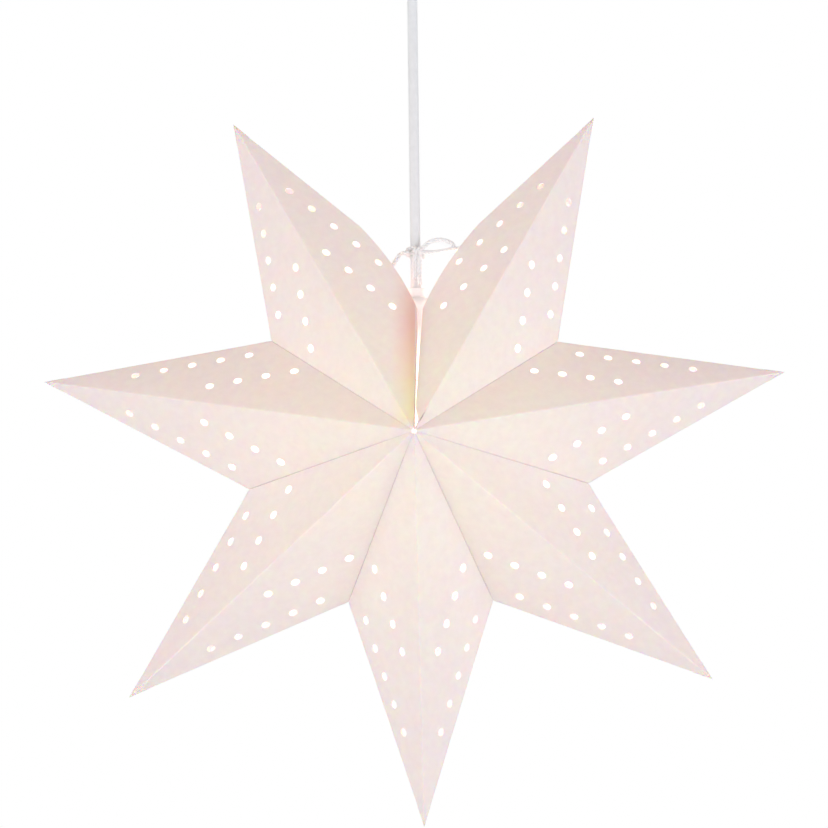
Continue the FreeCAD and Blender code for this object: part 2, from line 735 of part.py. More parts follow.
def make_cord(doc):
    """Straight cord from inside the lampholder to the ball grommet, round at its top."""
    length = f"{SWING} - {CORD_BOTTOM}"
    radius = "cord_diameter / 2"
    tube = solid(doc, "Cylinder", ("0", "0", CORD_BOTTOM), Radius=radius, Height=length)
    top = solid(doc, "Sphere", ("0", "0", SWING), Radius=radius)
    return joined(doc, "cord", [tube, top])


def make_upper_cord(doc):
    upper = solid(doc, "Cylinder", ("0", "0", UPPER_CORD_BOTTOM), Radius="cord_diameter / 2",
                  Height=f"{UPPER_CORD_TOP} - {UPPER_CORD_BOTTOM}")
    upper.Label = "cord_upper"
    return upper


def make_ceiling_cores(doc, size):
    """The two cores from the end of the sheath, bent forward into the terminal block."""
    made = []
    for name, side in (("live", -1), ("neutral", 1)):
        start = Vector(side * size.core_spacing / 2, 0, value(doc, UPPER_CORD_TOP))
        bend = start + Vector(0, 0, size.core_lift)
        end = Vector(side * size.pole_spacing / 2, -size.block_setback, bend.z)
        path = [start, bend, end + Vector(0, size.core_run, 0), end]
        made.append(shaped(doc, f"core_{name}", bar(path, size.core_diameter, size.core_bend)))
    return made


def make_holder_cores(doc, size):
    """The two cores from the cord's lower end down to the holder's terminals."""
    bottom = value(doc, CORD_BOTTOM)
    top = value(doc, INSULATOR_TOP) + size.terminal_height
    made = []
    for name, side, across in holder_poles(size):
        start = Vector(side * size.core_spacing / 2, 0, bottom)
        lead = Vector(0, 0, (bottom - top) * CORE_LEAD)
        end = Vector(across, 0, top)
        path = [start, start - lead, end + lead, end]
        core = bar(path, size.core_diameter, size.core_bend)
        made.append(shaped(doc, f"holder_core_{name}", core))
    return made


# %% lampholder

def make_gland_nut(doc):
    inner = "(neck_diameter / 2 + thread_clearance)"
    ceiling = f"({NECK_TOP} + thread_clearance)"
    nut = turned(doc, "gland_nut", [
        (inner, CAP_TOP), ("gland_diameter / 2", CAP_TOP), ("gland_diameter / 2", GLAND_TOP),
        (CORD_BORE, GLAND_TOP), (CORD_BORE, ceiling), (inner, ceiling)])
    soften(nut, "mouth_round", ("gland_diameter / 2", GLAND_TOP))
    return nut


def make_holder_cap(doc):
    outer = "(holder_diameter / 2)"
    inner = "(holder_diameter / 2 - holder_wall)"
    neck = "(neck_diameter / 2)"
    cap = turned(doc, "holder_cap", [
        (inner, CAP_BOTTOM), (outer, CAP_BOTTOM), (outer, CAP_TOP), (neck, CAP_TOP),
        (neck, NECK_TOP), (CORD_BORE, NECK_TOP), (CORD_BORE, CAP_CEILING), (inner, CAP_CEILING)])
    soften(cap, "dome_round", (outer, CAP_TOP))
    soften(cap, "dome_round - holder_wall", (inner, CAP_CEILING))
    return cap


def make_holder_barrel(doc):
    outer = "(holder_diameter / 2)"
    collar = "(holder_diameter / 2 - holder_wall - thread_clearance)"
    seat = "(insulator_diameter / 2 + thread_clearance)"
    bore = "(barrel_bore_diameter / 2)"
    collar_top = f"({CAP_BOTTOM} + collar_height)"
    barrel = turned(doc, "holder_barrel", [
        (bore, BARREL_BOTTOM), (outer, BARREL_BOTTOM), (outer, CAP_BOTTOM), (collar, CAP_BOTTOM),
        (collar, collar_top), (seat, collar_top), (seat, INSULATOR_BOTTOM), (bore, INSULATOR_BOTTOM)])
    soften(barrel, "mouth_round", (outer, BARREL_BOTTOM), (bore, BARREL_BOTTOM))
    return barrel


def make_insulator(doc):
    """Insulating core that sits on the barrel's step, with holes for its two rivets."""
    edge = "(insulator_diameter / 2)"
    pocket = "(contact_diameter / 2 + 2 * thread_clearance)"
    roof = f"({INSULATOR_BOTTOM} + contact_recess)"
    core = turned(doc, "holder_insulator", [
        (pocket, INSULATOR_BOTTOM), (edge, INSULATOR_BOTTOM), (edge, INSULATOR_TOP),
        ("0", INSULATOR_TOP), ("0", roof), (pocket, roof)])
    hole = "(rivet_diameter / 2 + screw_clearance)"
    drill(core, rounds(core, "XY_Plane", [("0", "0", hole), ("shell_rivet_offset", "0", hole)],
                       INSULATOR_TOP))
    return core


def make_screw_shell(doc):
    """Brass thread shell; its flange is riveted under the insulating core."""
    bore = "(shell_bore_diameter / 2)"
    outside = "(shell_bore_diameter / 2 + shell_wall)"
    mouth = "(shell_mouth_diameter / 2)"
    flange = f"({INSULATOR_BOTTOM} - shell_wall)"
    end = f"({INSULATOR_BOTTOM} - shell_length)"
    return turned(doc, "screw_shell", [
        (bore, end), (outside, end), (outside, INSULATOR_BOTTOM), (mouth, INSULATOR_BOTTOM),
        (mouth, flange), (bore, flange)])


def make_centre_contact(doc):
    """Contact disc in the core's pocket, on the rivet that joins it to the live terminal."""
    low = INSULATOR_BOTTOM
    top = f"({low} + contact_thickness)"
    return turned(doc, "centre_contact", [
        ("0", low), ("contact_diameter / 2", low), ("contact_diameter / 2", top),
        ("rivet_diameter / 2", top), ("rivet_diameter / 2", INSULATOR_TOP), ("0", INSULATOR_TOP)])


def make_shell_rivet(doc):
    rivet = solid(doc, "Cylinder", ("shell_rivet_offset", "0", INSULATOR_BOTTOM),
                  Radius="rivet_diameter / 2", Height="insulator_height")
    rivet.Label = "shell_rivet"
    return rivet


def holder_poles(size):
    """Name, side of the cord and distance from the axis of the holder's two terminals."""
    return (("live", -1, 0.0), ("neutral", 1, size.shell_rivet_offset))


def make_holder_terminals(doc):
    blocks = []
    half = "terminal_width / 2"
    for across in (minus(half), f"(shell_rivet_offset - {half})"):
        blocks.append(solid(doc, "Box", (across, minus(half), INSULATOR_TOP),
                            Length="terminal_width", Width="terminal_width", Height="terminal_height"))
    return grouped(doc, "holder_terminals", blocks)


def make_holder_terminal_screws(doc):
    """Cheese-head screws in the front faces of the two terminals."""
    screws = []
    middle = f"({INSULATOR_TOP} + terminal_height / 2)"
    facing = Rotation(Vector(1, 0, 0), 90)
    for across in ("0", "shell_rivet_offset"):
        screws.append(solid(doc, "Cylinder", (across, minus("(terminal_width / 2)"), middle), facing,
                            Radius="terminal_screw_diameter / 2", Height="screw_head_height"))
    return grouped(doc, "holder_terminal_screws", screws)


def make_cord_grip(doc):
    """Ring that grips the cord's sheath, so that no weight reaches the terminals."""
    inner = "(cord_diameter / 2 + cord_clearance / 2)"
    outer = "(grip_diameter / 2)"
    return turned(doc, "cord_grip", [
        (inner, GRIP_BOTTOM), (outer, GRIP_BOTTOM), (outer, CAP_CEILING), (inner, CAP_CEILING)])


# %% bulb

def make_bulb_tip(doc):
    tip = turned(doc, "bulb_tip_contact", [
        ("0", VITRITE_TOP), ("tip_diameter / 2", VITRITE_TOP), ("tip_diameter / 2", BULB_TOP),
        ("0", BULB_TOP)])
    soften(tip, "tip_height / 2", ("tip_diameter / 2", BULB_TOP))
    return tip


def make_bulb_insulator(doc):
    wide = "(thread_root_diameter / 2 - cap_wall)"
    return turned(doc, "bulb_insulator", [
        ("0", BULB_CAP_TOP), (wide, BULB_CAP_TOP), ("tip_diameter / 2", VITRITE_TOP),
        ("0", VITRITE_TOP)])


def make_bulb_cap(doc, size):
    """Brass cap: its thread is drawn as rings at the thread's pitch, over a collar."""
    root = "(thread_root_diameter / 2)"
    crest = "(thread_diameter / 2)"
    collar = "(cap_collar_diameter / 2)"
    outside = [(root, BULB_CAP_TOP)]
    for turn in range(int(size.thread_turns)):
        ring = ((THREAD_START, root), (THREAD_RISE, crest), (THREAD_FALL, crest), (THREAD_STOP, root))
        for height, radius in ring:
            outside.append((radius, f"({BULB_CAP_TOP} - {turn + height} * thread_pitch)"))
    outside += [(root, THREAD_END), (collar, COLLAR_TOP), (collar, COLLAR_BOTTOM)]
    inside = [(f"({collar} - cap_wall)", COLLAR_BOTTOM), (f"({collar} - cap_wall)", COLLAR_TOP),
              (f"({root} - cap_wall)", THREAD_END), (f"({root} - cap_wall)", BULB_CAP_TOP)]
    return turned(doc, "bulb_cap", outside + inside)


def bulb_body(doc, less):
    """Glass ball with its neck, less a given thickness all over."""
    ball = solid(doc, "Sphere", ("0", "0", BALL_CENTRE), Radius=f"bulb_diameter / 2 - {less}")
    neck = solid(doc, "Cylinder", ("0", "0", BALL_CENTRE), Radius=f"bulb_neck_diameter / 2 - {less}",
                 Height=f"{NECK_END} - {BALL_CENTRE}")
    fused = joined(doc, "bulb_form", [ball, neck])
    doc.recompute()
    half, neck_half = ball.Radius.Value, neck.Radius.Value
    meeting = value(doc, BALL_CENTRE) + math.sqrt(half ** 2 - neck_half ** 2)
    smooth = doc.addObject("Part::Fillet", "bulb_smooth")
    smooth.Base = fused
    radius = value(doc, f"bulb_neck_round + {less}")
    smooth.Edges = [(ring, radius, radius) for ring in ring_edges(fused.Shape, [(neck_half, meeting)])]
    doc.recompute()
    return smooth


def make_bulb_glass(doc):
    return cut(doc, "bulb_glass", bulb_body(doc, "0"), bulb_body(doc, "bulb_wall"))


def make_bulb_stem(doc):
    """Flared glass stem, sealed to the neck's end inside the cap."""
    wide = "(bulb_neck_diameter / 2 - bulb_wall - cord_clearance)"
    narrow = "(stem_diameter / 2)"
    waist = f"({NECK_END} - stem_flare_height)"
    return turned(doc, "bulb_stem", [
        ("0", STEM_BOTTOM), (narrow, STEM_BOTTOM), (narrow, waist), (wide, NECK_END), ("0", NECK_END)])


def make_bulb_wires(doc, size):
    """Two lead wires that spread from the stem to the ends of the filament."""
    top = value(doc, STEM_BOTTOM)
    low = value(doc, FILAMENT)
    shapes = []
    for side in (-1, 1):
        near = Vector(side * size.wire_spacing / 2, 0, top)
        bend = near - Vector(0, 0, size.wire_lead)
        far = Vector(side * size.filament_half_span, 0, low)
        shapes.append(bar([near, bend, far], size.wire_diameter, size.wire_diameter))
    return shaped(doc, "bulb_wires", Part.makeCompound(shapes))


def make_filament(doc, size):
    """Coiled filament, hung in a shallow bow between the wires."""
    low = value(doc, FILAMENT) - size.filament_diameter / 2 - size.wire_diameter / 4
    reach = size.filament_half_span
    level = reach * FILAMENT_FLAT
    sunk = low - size.filament_sag
    path = [Vector(-reach, 0, low), Vector(-level, 0, sunk)]
    path += [Vector(level, 0, sunk), Vector(reach, 0, low)]
    return shaped(doc, "filament", bar(path, size.filament_diameter, size.filament_sag))


# %% ceiling fitting

def make_ceiling_plate(doc):
    """Round steel plate; two lugs on a strap across it and a tab by the cord are bent down."""
    body = new_body(doc, "ceiling_plate")
    down = {"Reversed": True}
    edge = "cup_diameter / 2 - cup_wall - plate_clearance"
    pad(body, rounds(body, "XY_Plane", [("0", "0", edge)]), "plate_thickness", **down)
    far = "sqrt((cup_diameter / 2 - cup_wall - lug_clearance) ^ 2 - (lug_width / 2) ^ 2)"
    near = f"({far} - sheet_thickness)"
    half = "(lug_width / 2)"
    strap = box_outline(body, "XY_Plane", (minus(half), minus(far)), (half, far))
    pad(body, strap, "plate_thickness", **down)
    for low, high in ((near, far), (minus(far), minus(near))):
        lug = box_outline(body, "XY_Plane", (minus(half), low), (half, high))
        pad(body, lug, "lug_height", **down)
    tab_face = "(cord_diameter / 2)"
    tab = box_outline(body, "XY_Plane", (minus("(tab_width / 2)"), tab_face),
                      ("(tab_width / 2)", f"({tab_face} + sheet_thickness)"))
    pad(body, tab, "clamp_tab_height", **down)
    fixing = "(fixing_diameter / 2)"
    holes = [(minus("(fixing_spacing / 2)"), "0", fixing), ("fixing_spacing / 2", "0", fixing)]
    holes.append(("0", "entry_offset", "entry_diameter / 2"))
    drill(body, rounds(body, "XY_Plane", holes))
    pilot = SCREW_HOLE
    threads = [("0", minus("screw_depth"), pilot)]
    spread = "(clamp_screw_spacing / 2)"
    threads += [(minus(spread), minus("clamp_depth"), pilot), (spread, minus("clamp_depth"), pilot)]
    drill(body, rounds(body, "XZ_Plane", threads))
    return body


def make_ceiling_cup(doc):
    """Turned cup with a boss inside, whose round seat carries the cord's ball grommet."""
    outer = "(cup_diameter / 2)"
    inner = "(cup_diameter / 2 - cup_wall)"
    floor = "(cup_wall - cup_height)"
    bottom = minus("cup_height")
    rim = minus("cup_reveal")
    bore = "(ball_diameter / 2 + ball_clearance)"
    boss = "(ball_diameter / 2 + ball_clearance + seat_wall)"
    boss_top = f"({SWING} + seat_rise)"
    cup = turned(doc, "cup_form", [
        ("0", bottom), (outer, bottom), (outer, rim), (inner, rim), (inner, floor), (boss, floor),
        (boss, boss_top), (bore, boss_top), (bore, SWING), ("0", SWING)])
    soften(cup, "cup_round", (outer, bottom))
    soften(cup, "cup_round - cup_wall", (inner, floor))
    drill(cup, rounds(cup, "XZ_Plane", [("0", minus("screw_depth"), SCREW_HOLE)]))
    seat = solid(doc, "Sphere", ("0", "0", SWING), Radius="ball_diameter / 2 + ball_clearance")
    return cut(doc, "ceiling_cup", cup, seat)


def make_cord_grommet(doc):
    """Ball with an hourglass bore: it rocks in the cup's seat, and the cord leans in it."""
    latitude = "asin(2 * ball_half_height / ball_diameter)"
    ball = solid(doc, "Sphere", ("0", "0", SWING), Radius="ball_diameter / 2",
                 Angle1=f"-1 * {latitude}", Angle2=latitude)
    waist = f"{CORD_BORE} / cos(flare_angle)"
    mouth = f"{waist} + ball_half_height * tan(flare_angle)"
    flares = [solid(doc, "Cone", ("0", "0", SWING), turn, Radius1=waist, Radius2=mouth,
                    Height="ball_half_height")
              for turn in (Rotation(), Rotation(Vector(1, 0, 0), 180))]
    return cut(doc, "cord_grommet", ball, joined(doc, "flares", flares))


def screw(doc, seat, toward, length):
    """Slotted screw along Y: its head stands on seat and its shank goes toward +Y or -Y."""
    turn = Rotation(Vector(1, 0, 0), -90 if toward > 0 else 90)
    across, along, height = seat
    head_end = f"({along} - {toward} * screw_head_height)"
    shank = solid(doc, "Cylinder", (across, head_end, height), turn, Radius="screw_diameter / 2",
                  Height=f"{length} + screw_head_height")
    head = solid(doc, "Cylinder", (across, head_end, height), turn,
                 Radius="screw_head_diameter / 2", Height="screw_head_height")
    slot_low = f"({head_end} - screw_slot_depth)"
    slot = solid(doc, "Box", (f"({across} - screw_head_diameter)", slot_low,
                              f"({height} - screw_slot_width / 2)"),
                 Length="2 * screw_head_diameter", Width="2 * screw_slot_depth",
                 Height="screw_slot_width")
    return cut(doc, "slotted_screw", joined(doc, "screw_blank", [shank, head]), slot)


def make_cup_screws(doc):
    """Two screws through the cup's wall into the plate's lugs."""
    wall = "(cup_diameter / 2)"
    length = "(cup_wall + lug_clearance + 2 * sheet_thickness)"
    height = minus("screw_depth")
    front = screw(doc, ("0", minus(wall), height), 1, length)
    back = screw(doc, ("0", wall, height), -1, length)
    return grouped(doc, "cup_screws", [front, back])


def make_cord_clamp(doc):
    """Saddle that presses the cord against the plate's tab."""
    body = new_body(doc, "cord_clamp")
    reach = "(cord_diameter / 2 + clamp_thickness)"
    low = minus("(clamp_depth + clamp_height / 2)")
    half = "(tab_width / 2)"
    blank = box_outline(body, "XY_Plane", (minus(half), minus(reach)),
                        (half, "(cord_diameter / 2)"), low)
    pad(body, blank, "clamp_height")
    groove = "((cord_diameter + cord_clearance) / 2)"
    drill(body, rounds(body, "XY_Plane", [("0", "0", groove)], low))
    slot = box_outline(body, "XY_Plane", (minus(groove), "0"), (groove, "cord_diameter"), low)
    drill(body, slot)
    spread = "(clamp_screw_spacing / 2)"
    places = [(minus(spread), minus("clamp_depth"), SCREW_HOLE),
              (spread, minus("clamp_depth"), SCREW_HOLE)]
    drill(body, rounds(body, "XZ_Plane", places))
    return body


def make_clamp_screws(doc):
    front = minus("(cord_diameter / 2 + clamp_thickness)")
    length = "(cord_diameter + clamp_thickness + 2 * sheet_thickness)"
    spread = "(clamp_screw_spacing / 2)"
    screws = [screw(doc, (across, front, minus("clamp_depth")), 1, length)
              for across in (minus(spread), spread)]
    return grouped(doc, "clamp_screws", screws)


def make_terminal_block(doc):
    """Two-pole block under the plate, with a hole right through for each core."""
    body = new_body(doc, "terminal_block")
    half = "(block_length / 2)"
    near = minus("block_setback")
    blank = box_outline(body, "XY_Plane", (minus(half), f"({near} - block_width)"),
                        (half, near), minus("(plate_thickness + block_height)"))
    pad(body, blank, "block_height")
    core_height = f"({UPPER_CORD_TOP} + core_lift)"
    wires = [(f"({side} * pole_spacing / 2)", core_height, "core_diameter / 2 + cord_clearance")
             for side in (-1, 1)]
    drill(body, rounds(body, "XZ_Plane", wires))
    return body


def make_block_screws(doc):
    """Clamping screws, two to a pole, in the underside of the block."""
    screws = []
    low = minus("(plate_thickness + block_height + block_screw_depth)")
    for side in (-1, 1):
        for share in BLOCK_SCREW_PLACES:
            along = minus(f"(block_setback + {share} * block_width)")
            place = (f"({side} * pole_spacing / 2)", along, low)
            screws.append(solid(doc, "Cylinder", place, Radius="block_screw_diameter / 2",
                                Height="block_screw_depth"))
    return grouped(doc, "block_screws", screws)


# %% the whole pendant

def build(doc):
    size = Sizes(make_sheet(doc))
    nodes = [
        make_ceiling_plate(doc), make_ceiling_cup(doc), make_cup_screws(doc), make_cord_clamp(doc),
        make_clamp_screws(doc), make_terminal_block(doc), make_block_screws(doc),
        make_upper_cord(doc), *make_ceiling_cores(doc, size), make_cord_grommet(doc),
        make_cord(doc), make_gland_nut(doc), make_holder_cap(doc), make_holder_barrel(doc),
        make_cord_grip(doc), make_insulator(doc), make_screw_shell(doc), make_centre_contact(doc),
        make_shell_rivet(doc), make_holder_terminals(doc), make_holder_terminal_screws(doc),
        *make_holder_cores(doc, size),
        make_bulb_tip(doc), make_bulb_insulator(doc), make_bulb_cap(doc, size),
        make_bulb_glass(doc), make_bulb_stem(doc), make_bulb_wires(doc, size),
        make_filament(doc, size), *make_arms(doc, size), make_bow(doc, size),
        *make_tie_side(doc, size, "right", False), *make_tie_side(doc, size, "left", True),
    ]
    doc.recompute()
    return nodes


def check(doc, nodes):
    """Stop if any object failed, or any piece isn't a sound solid."""
    for item in doc.Objects:
        if "Invalid" in item.State or "Error" in item.State:
            raise RuntimeError(f"{item.Label} failed: {item.State}")
    for node in nodes:
        shape = node.Shape
        if shape.isNull() or not shape.isValid() or not shape.Solids:
            raise RuntimeError(f"{node.Label} has no valid solid")


def export(nodes):
    os.makedirs("parts", exist_ok=True)
    for node in nodes:
        node.Shape.exportStep(f"parts/{node.Label}.step")
        box = node.Shape.BoundBox
        print(f"{node.Label:24} {len(node.Shape.Solids)} solid, {node.Shape.Volume:10.1f} mm3, "
              f"{box.XLength:.1f} x {box.YLength:.1f} x {box.ZLength:.1f} mm")


document = FreeCAD.newDocument("StarPendant")
pieces = build(document)
check(document, pieces)
export(pieces)
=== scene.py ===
# %% [markdown]
# # A folding card star on its lamp cord
# The object is a paper star lantern. Seven folded card sleeves are glued side by side, and the two
# at the top are tied round a lamp cord with a string. Inside hangs a small bulb. This lesson
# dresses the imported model: it keeps every moving body where it is and gives each piece its real
# surface.

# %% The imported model
import json
import math
import bmesh
import bpy
from mathutils import Matrix, Vector, noise


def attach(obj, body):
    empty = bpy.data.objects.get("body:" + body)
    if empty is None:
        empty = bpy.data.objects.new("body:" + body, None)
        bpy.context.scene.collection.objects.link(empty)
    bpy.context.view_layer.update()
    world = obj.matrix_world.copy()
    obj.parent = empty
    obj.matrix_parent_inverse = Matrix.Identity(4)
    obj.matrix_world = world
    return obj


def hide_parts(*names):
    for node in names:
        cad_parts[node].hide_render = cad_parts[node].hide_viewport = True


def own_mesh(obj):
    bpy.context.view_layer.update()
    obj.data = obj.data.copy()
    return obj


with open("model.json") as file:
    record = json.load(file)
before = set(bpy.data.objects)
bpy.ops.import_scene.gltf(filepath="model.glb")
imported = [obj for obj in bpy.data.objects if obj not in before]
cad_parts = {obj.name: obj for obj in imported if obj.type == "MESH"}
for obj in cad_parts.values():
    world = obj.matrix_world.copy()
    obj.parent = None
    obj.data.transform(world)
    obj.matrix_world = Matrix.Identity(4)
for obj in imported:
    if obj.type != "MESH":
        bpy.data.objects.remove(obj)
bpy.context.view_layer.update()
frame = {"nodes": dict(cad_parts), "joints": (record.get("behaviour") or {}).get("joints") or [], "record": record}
NODES = frame["nodes"]
print("the packed model has", len(NODES), "nodes")

# %% [markdown]
# ## Driving sizes
# Lengths are in metres. The star's centre comes from the joint that it turns about, so it can't
# drift from the model. The other values are the real sizes of the folded card. Points that are
# closer than TINY count as one.

# %% Sizes of the star
MM = 0.001
CENTRE = Vector(next(joint for joint in frame["joints"] if joint["name"] == "star_turn")["pos_m"])
TIP = Vector((229 * MM, 0, 0))
HALF_DEPTH = 75 * MM
FRONT_APEX = Vector((0, -HALF_DEPTH, 0))
NOTCH_RADIUS = 106.5 * MM
ARM_PITCH = math.radians(50.3)
LOWEST_ARM = 4
ARM_NUMBERS = range(1, 8)
CARD = 0.4 * MM
TINY = 1e-6
print("star centre at", tuple(round(value, 3) for value in CENTRE))

# %% [markdown]
# ## Camera
# The star is looked at from a little below its middle, with a long lens. The camera stands
# 1.3 m away and is turned by under one degree, because the star hangs slightly askew. Its places
# are in millimetres from the star's centre.

# %% Camera
EYE = CENTRE + Vector((36.5, -1293, -130)) * MM
AIM = CENTRE + Vector((-2.1, 0, 18.1)) * MM
LENS = 93.1
SENSOR_WIDTH = 36
ASKEW = math.radians(0.71)


def add_camera(eye, aim):
    camera = bpy.data.objects.new("camera", bpy.data.cameras.new("camera"))
    bpy.context.scene.collection.objects.link(camera)
    camera.data.lens = LENS
    camera.data.sensor_width = SENSOR_WIDTH
    look = (aim - eye).to_track_quat("-Z", "Y").to_matrix().to_4x4()
    camera.matrix_world = Matrix.Translation(eye) @ look @ Matrix.Rotation(-ASKEW, 4, "Z")
    bpy.context.scene.camera = camera
    return camera


add_camera(EYE, AIM)
print("camera", round((EYE - AIM).length, 3), "m away")

# %% [markdown]
# ## Material helpers
# A real surface is never one flat colour. Each finish here is a Principled shader whose colour
# wanders between two close tones, whose roughness wanders too, and whose fine relief catches the
# light. All of them read Object coordinates, so a pattern keeps its scale on every piece.
#
# A Mix node keeps its sockets for numbers, vectors and colours in one list, and their names are the
# same, so the colour sockets are reached by their place in it.

# %% Material helpers
MIX_FACTOR, MIX_FIRST, MIX_SECOND, MIX_RESULT = 0, 6, 7, 2
PATCH_GRAINS = 12
GLOSS_SPREAD = 0.15


def add_node(material, kind, **settings):
    """New shader step. A setting is the value of a socket, or of the step itself."""
    node = material.node_tree.nodes.new(kind)
    for name, value in settings.items():
        if name in node.inputs:
            node.inputs[name].default_value = value
        else:
            setattr(node, name, value)
    return node


def join(material, source, target):
    material.node_tree.links.new(source, target)


def new_material(name):
    material = bpy.data.materials.new(name)
    material.use_nodes = True
    return material, material.node_tree.nodes["Principled BSDF"]


def speckle(material, size, detail=4.0, stretch=(1, 1, 1)):
    """Noise whose patches are about that size, in metres."""
    place = add_node(material, "ShaderNodeTexCoord")
    mapping = add_node(material, "ShaderNodeMapping", Scale=stretch)
    grain = add_node(material, "ShaderNodeTexNoise", Scale=1 / size, Detail=detail, Roughness=0.55)
    join(material, place.outputs["Object"], mapping.inputs["Vector"])
    join(material, mapping.outputs["Vector"], grain.inputs["Vector"])
    return grain.outputs["Fac"]


def ramp(material, factor, low, high, start=0.35, stop=0.65):
    """Value that runs from low to high as the factor goes from start to stop.

    Noise seldom leaves 0.35 to 0.65, so that range is the usual one.
    """
    node = add_node(material, "ShaderNodeMapRange")
    for name, value in zip(("From Min", "From Max", "To Min", "To Max"), (start, stop, low, high)):
        node.inputs[name].default_value = value
    join(material, factor, node.inputs["Value"])
    return node.outputs["Result"]


def two_tones(material, factor, dark, light):
    mix = add_node(material, "ShaderNodeMix", data_type="RGBA")
    for socket, tone in ((MIX_FIRST, dark), (MIX_SECOND, light)):
        mix.inputs[socket].default_value = (*tone, 1)
    join(material, factor, mix.inputs[MIX_FACTOR])
    return mix.outputs[MIX_RESULT]


def relief(material, factor, height, shader):
    bump = add_node(material, "ShaderNodeBump", Strength=1.0, Distance=height)
    join(material, factor, bump.inputs["Height"])
    join(material, bump.outputs["Normal"], shader.inputs["Normal"])


def plain_finish(name, dark, light, rough, grain, height, metallic=0.0, **sockets):
    """Moulded, glazed or metal surface with close tones, uneven gloss and fine relief."""
    material, shader = new_material(name)
    patches = speckle(material, grain * PATCH_GRAINS)
    fine = speckle(material, grain, 6)
    join(material, two_tones(material, ramp(material, patches, 0, 1), dark, light),
         shader.inputs["Base Color"])
    gloss = ramp(material, patches, rough * (1 - GLOSS_SPREAD), rough * (1 + GLOSS_SPREAD))
    join(material, gloss, shader.inputs["Roughness"])
    shader.inputs["Metallic"].default_value = metallic
    for socket, value in sockets.items():
        shader.inputs[socket.replace("_", " ")].default_value = value
    relief(material, fine, height, shader)
    return material


# %% [markdown]
# ## Card
# The star is uncoated card of a white that is a little pink. Light from the bulb soaks through it,
# its blue part least, so the lit card glows warm where the room light is weak. Subsurface
# scattering does exactly that. Faint clouds are the uneven felting of the fibres, which shows when
# card is lit from behind.
#
# Beside the slit the card's colour is painted light and shade: a painted warm glow of the lamp
# through one layer of card, and painted shade where the slit's other lip keeps the room light off.
# It could be painted into the mesh, but a profile across the slit stays smooth on a coarse mesh. It is
# strongest on the left lip of the slit, and turns from yellow near the middle of the star to a
# pinkish brown at the top.

# %% Painted glow and shade beside the slit
# Colours of the painted glow of the lamp and the painted shade beside the slit, low and at the top.
PAINTED_GLOW_TOP = (0.88, 0.61, 0.53)
PAINTED_GLOW_LOW = (0.95, 0.80, 0.57)
ACROSS_SLIT = ((-14 * MM, 0.0), (-7.5 * MM, 0.45), (-2 * MM, 1.0), (-0.2 * MM, 1.0),
               (0.2 * MM, 0.3), (6 * MM, 0.0))
UP_SLIT = ((2 * MM, 0.0), (8 * MM, 1.0), (75 * MM, 1.0), (110 * MM, 0.4))
LOW_TO_TOP = ((22 * MM, 0.0), (72 * MM, 1.0))


def profile(material, axis, stops, middle=0.0):
    """Value that follows one axis through stops of a distance from the middle and a value."""
    place = add_node(material, "ShaderNodeTexCoord")
    parts = add_node(material, "ShaderNodeSeparateXYZ")
    join(material, place.outputs["Object"], parts.inputs[0])
    start, reach = stops[0][0], stops[-1][0] - stops[0][0]
    share = ramp(material, parts.outputs[axis], 0, 1, middle + start, middle + start + reach)
    curve = add_node(material, "ShaderNodeValToRGB")
    marks = curve.color_ramp.elements
    for where, _ in stops[1:-1]:
        marks.new((where - start) / reach)
    for mark, (_, value) in zip(marks, stops):
        mark.color = (value, value, value, 1)
    join(material, share, curve.inputs["Fac"])
    return curve.outputs["Color"]


def paint_slit_glow_and_shade(material, tone):
    """The tone, with a painted glow and painted shade beside the slit."""
    across = profile(material, "X", ACROSS_SLIT)
    up = profile(material, "Z", UP_SLIT, CENTRE.z)
    amount = add_node(material, "ShaderNodeMath", operation="MULTIPLY")
    join(material, across, amount.inputs[0])
    join(material, up, amount.inputs[1])
    height = profile(material, "Z", LOW_TO_TOP, CENTRE.z)
    mix = add_node(material, "ShaderNodeMix", data_type="RGBA")
    join(material, amount.outputs[0], mix.inputs[MIX_FACTOR])
    join(material, tone, mix.inputs[MIX_FIRST])
    join(material, two_tones(material, height, PAINTED_GLOW_LOW, PAINTED_GLOW_TOP), mix.inputs[MIX_SECOND])
    return mix.outputs[MIX_RESULT]


# %% Card material
CARD_DARK = (0.91, 0.795, 0.80)
CARD_LIGHT = (0.935, 0.82, 0.825)
CLOUD_SIZE = 5 * MM
FIBRE_SIZE = 0.5 * MM
FIBRE_HEIGHT = 0.02 * MM
SOAK_SHARES = (0.64, 1.0, 0.3)
SOAK_DEPTH = 0.285 * MM


def make_card():
    material, shader = new_material("star_card")
    clouds = speckle(material, CLOUD_SIZE, 5)
    fibres = speckle(material, FIBRE_SIZE, 3, (1, 1, 0.25))
    tone = two_tones(material, ramp(material, clouds, 0, 1), CARD_DARK, CARD_LIGHT)
    # The card's tone gets the painted glow and painted shade beside the slit.
    join(material, paint_slit_glow_and_shade(material, tone), shader.inputs["Base Color"])
    shader.inputs["Roughness"].default_value = 0.85
    shader.inputs["Specular IOR Level"].default_value = 0.25
    shader.inputs["Subsurface Weight"].default_value = 1.0
    shader.inputs["Subsurface Radius"].default_value = SOAK_SHARES
    shader.inputs["Subsurface Scale"].default_value = SOAK_DEPTH
    relief(material, fibres, FIBRE_HEIGHT, shader)
    return material


card_white = make_card()
print("card material has", len(card_white.node_tree.nodes), "shader steps")

# %% [markdown]
# ## One panel of card
# A sleeve has four panels. Each is a triangle from the notch corner to the tip to the apex, with
# two rows of punched holes. It is drawn flat, as it was on the card: an outline, a circle round
# each hole, and one fill between them. A narrow ring of faces then leads in to each hole, which
# keeps the shading even beside it. Last, the panel is folded into place by its matrix.

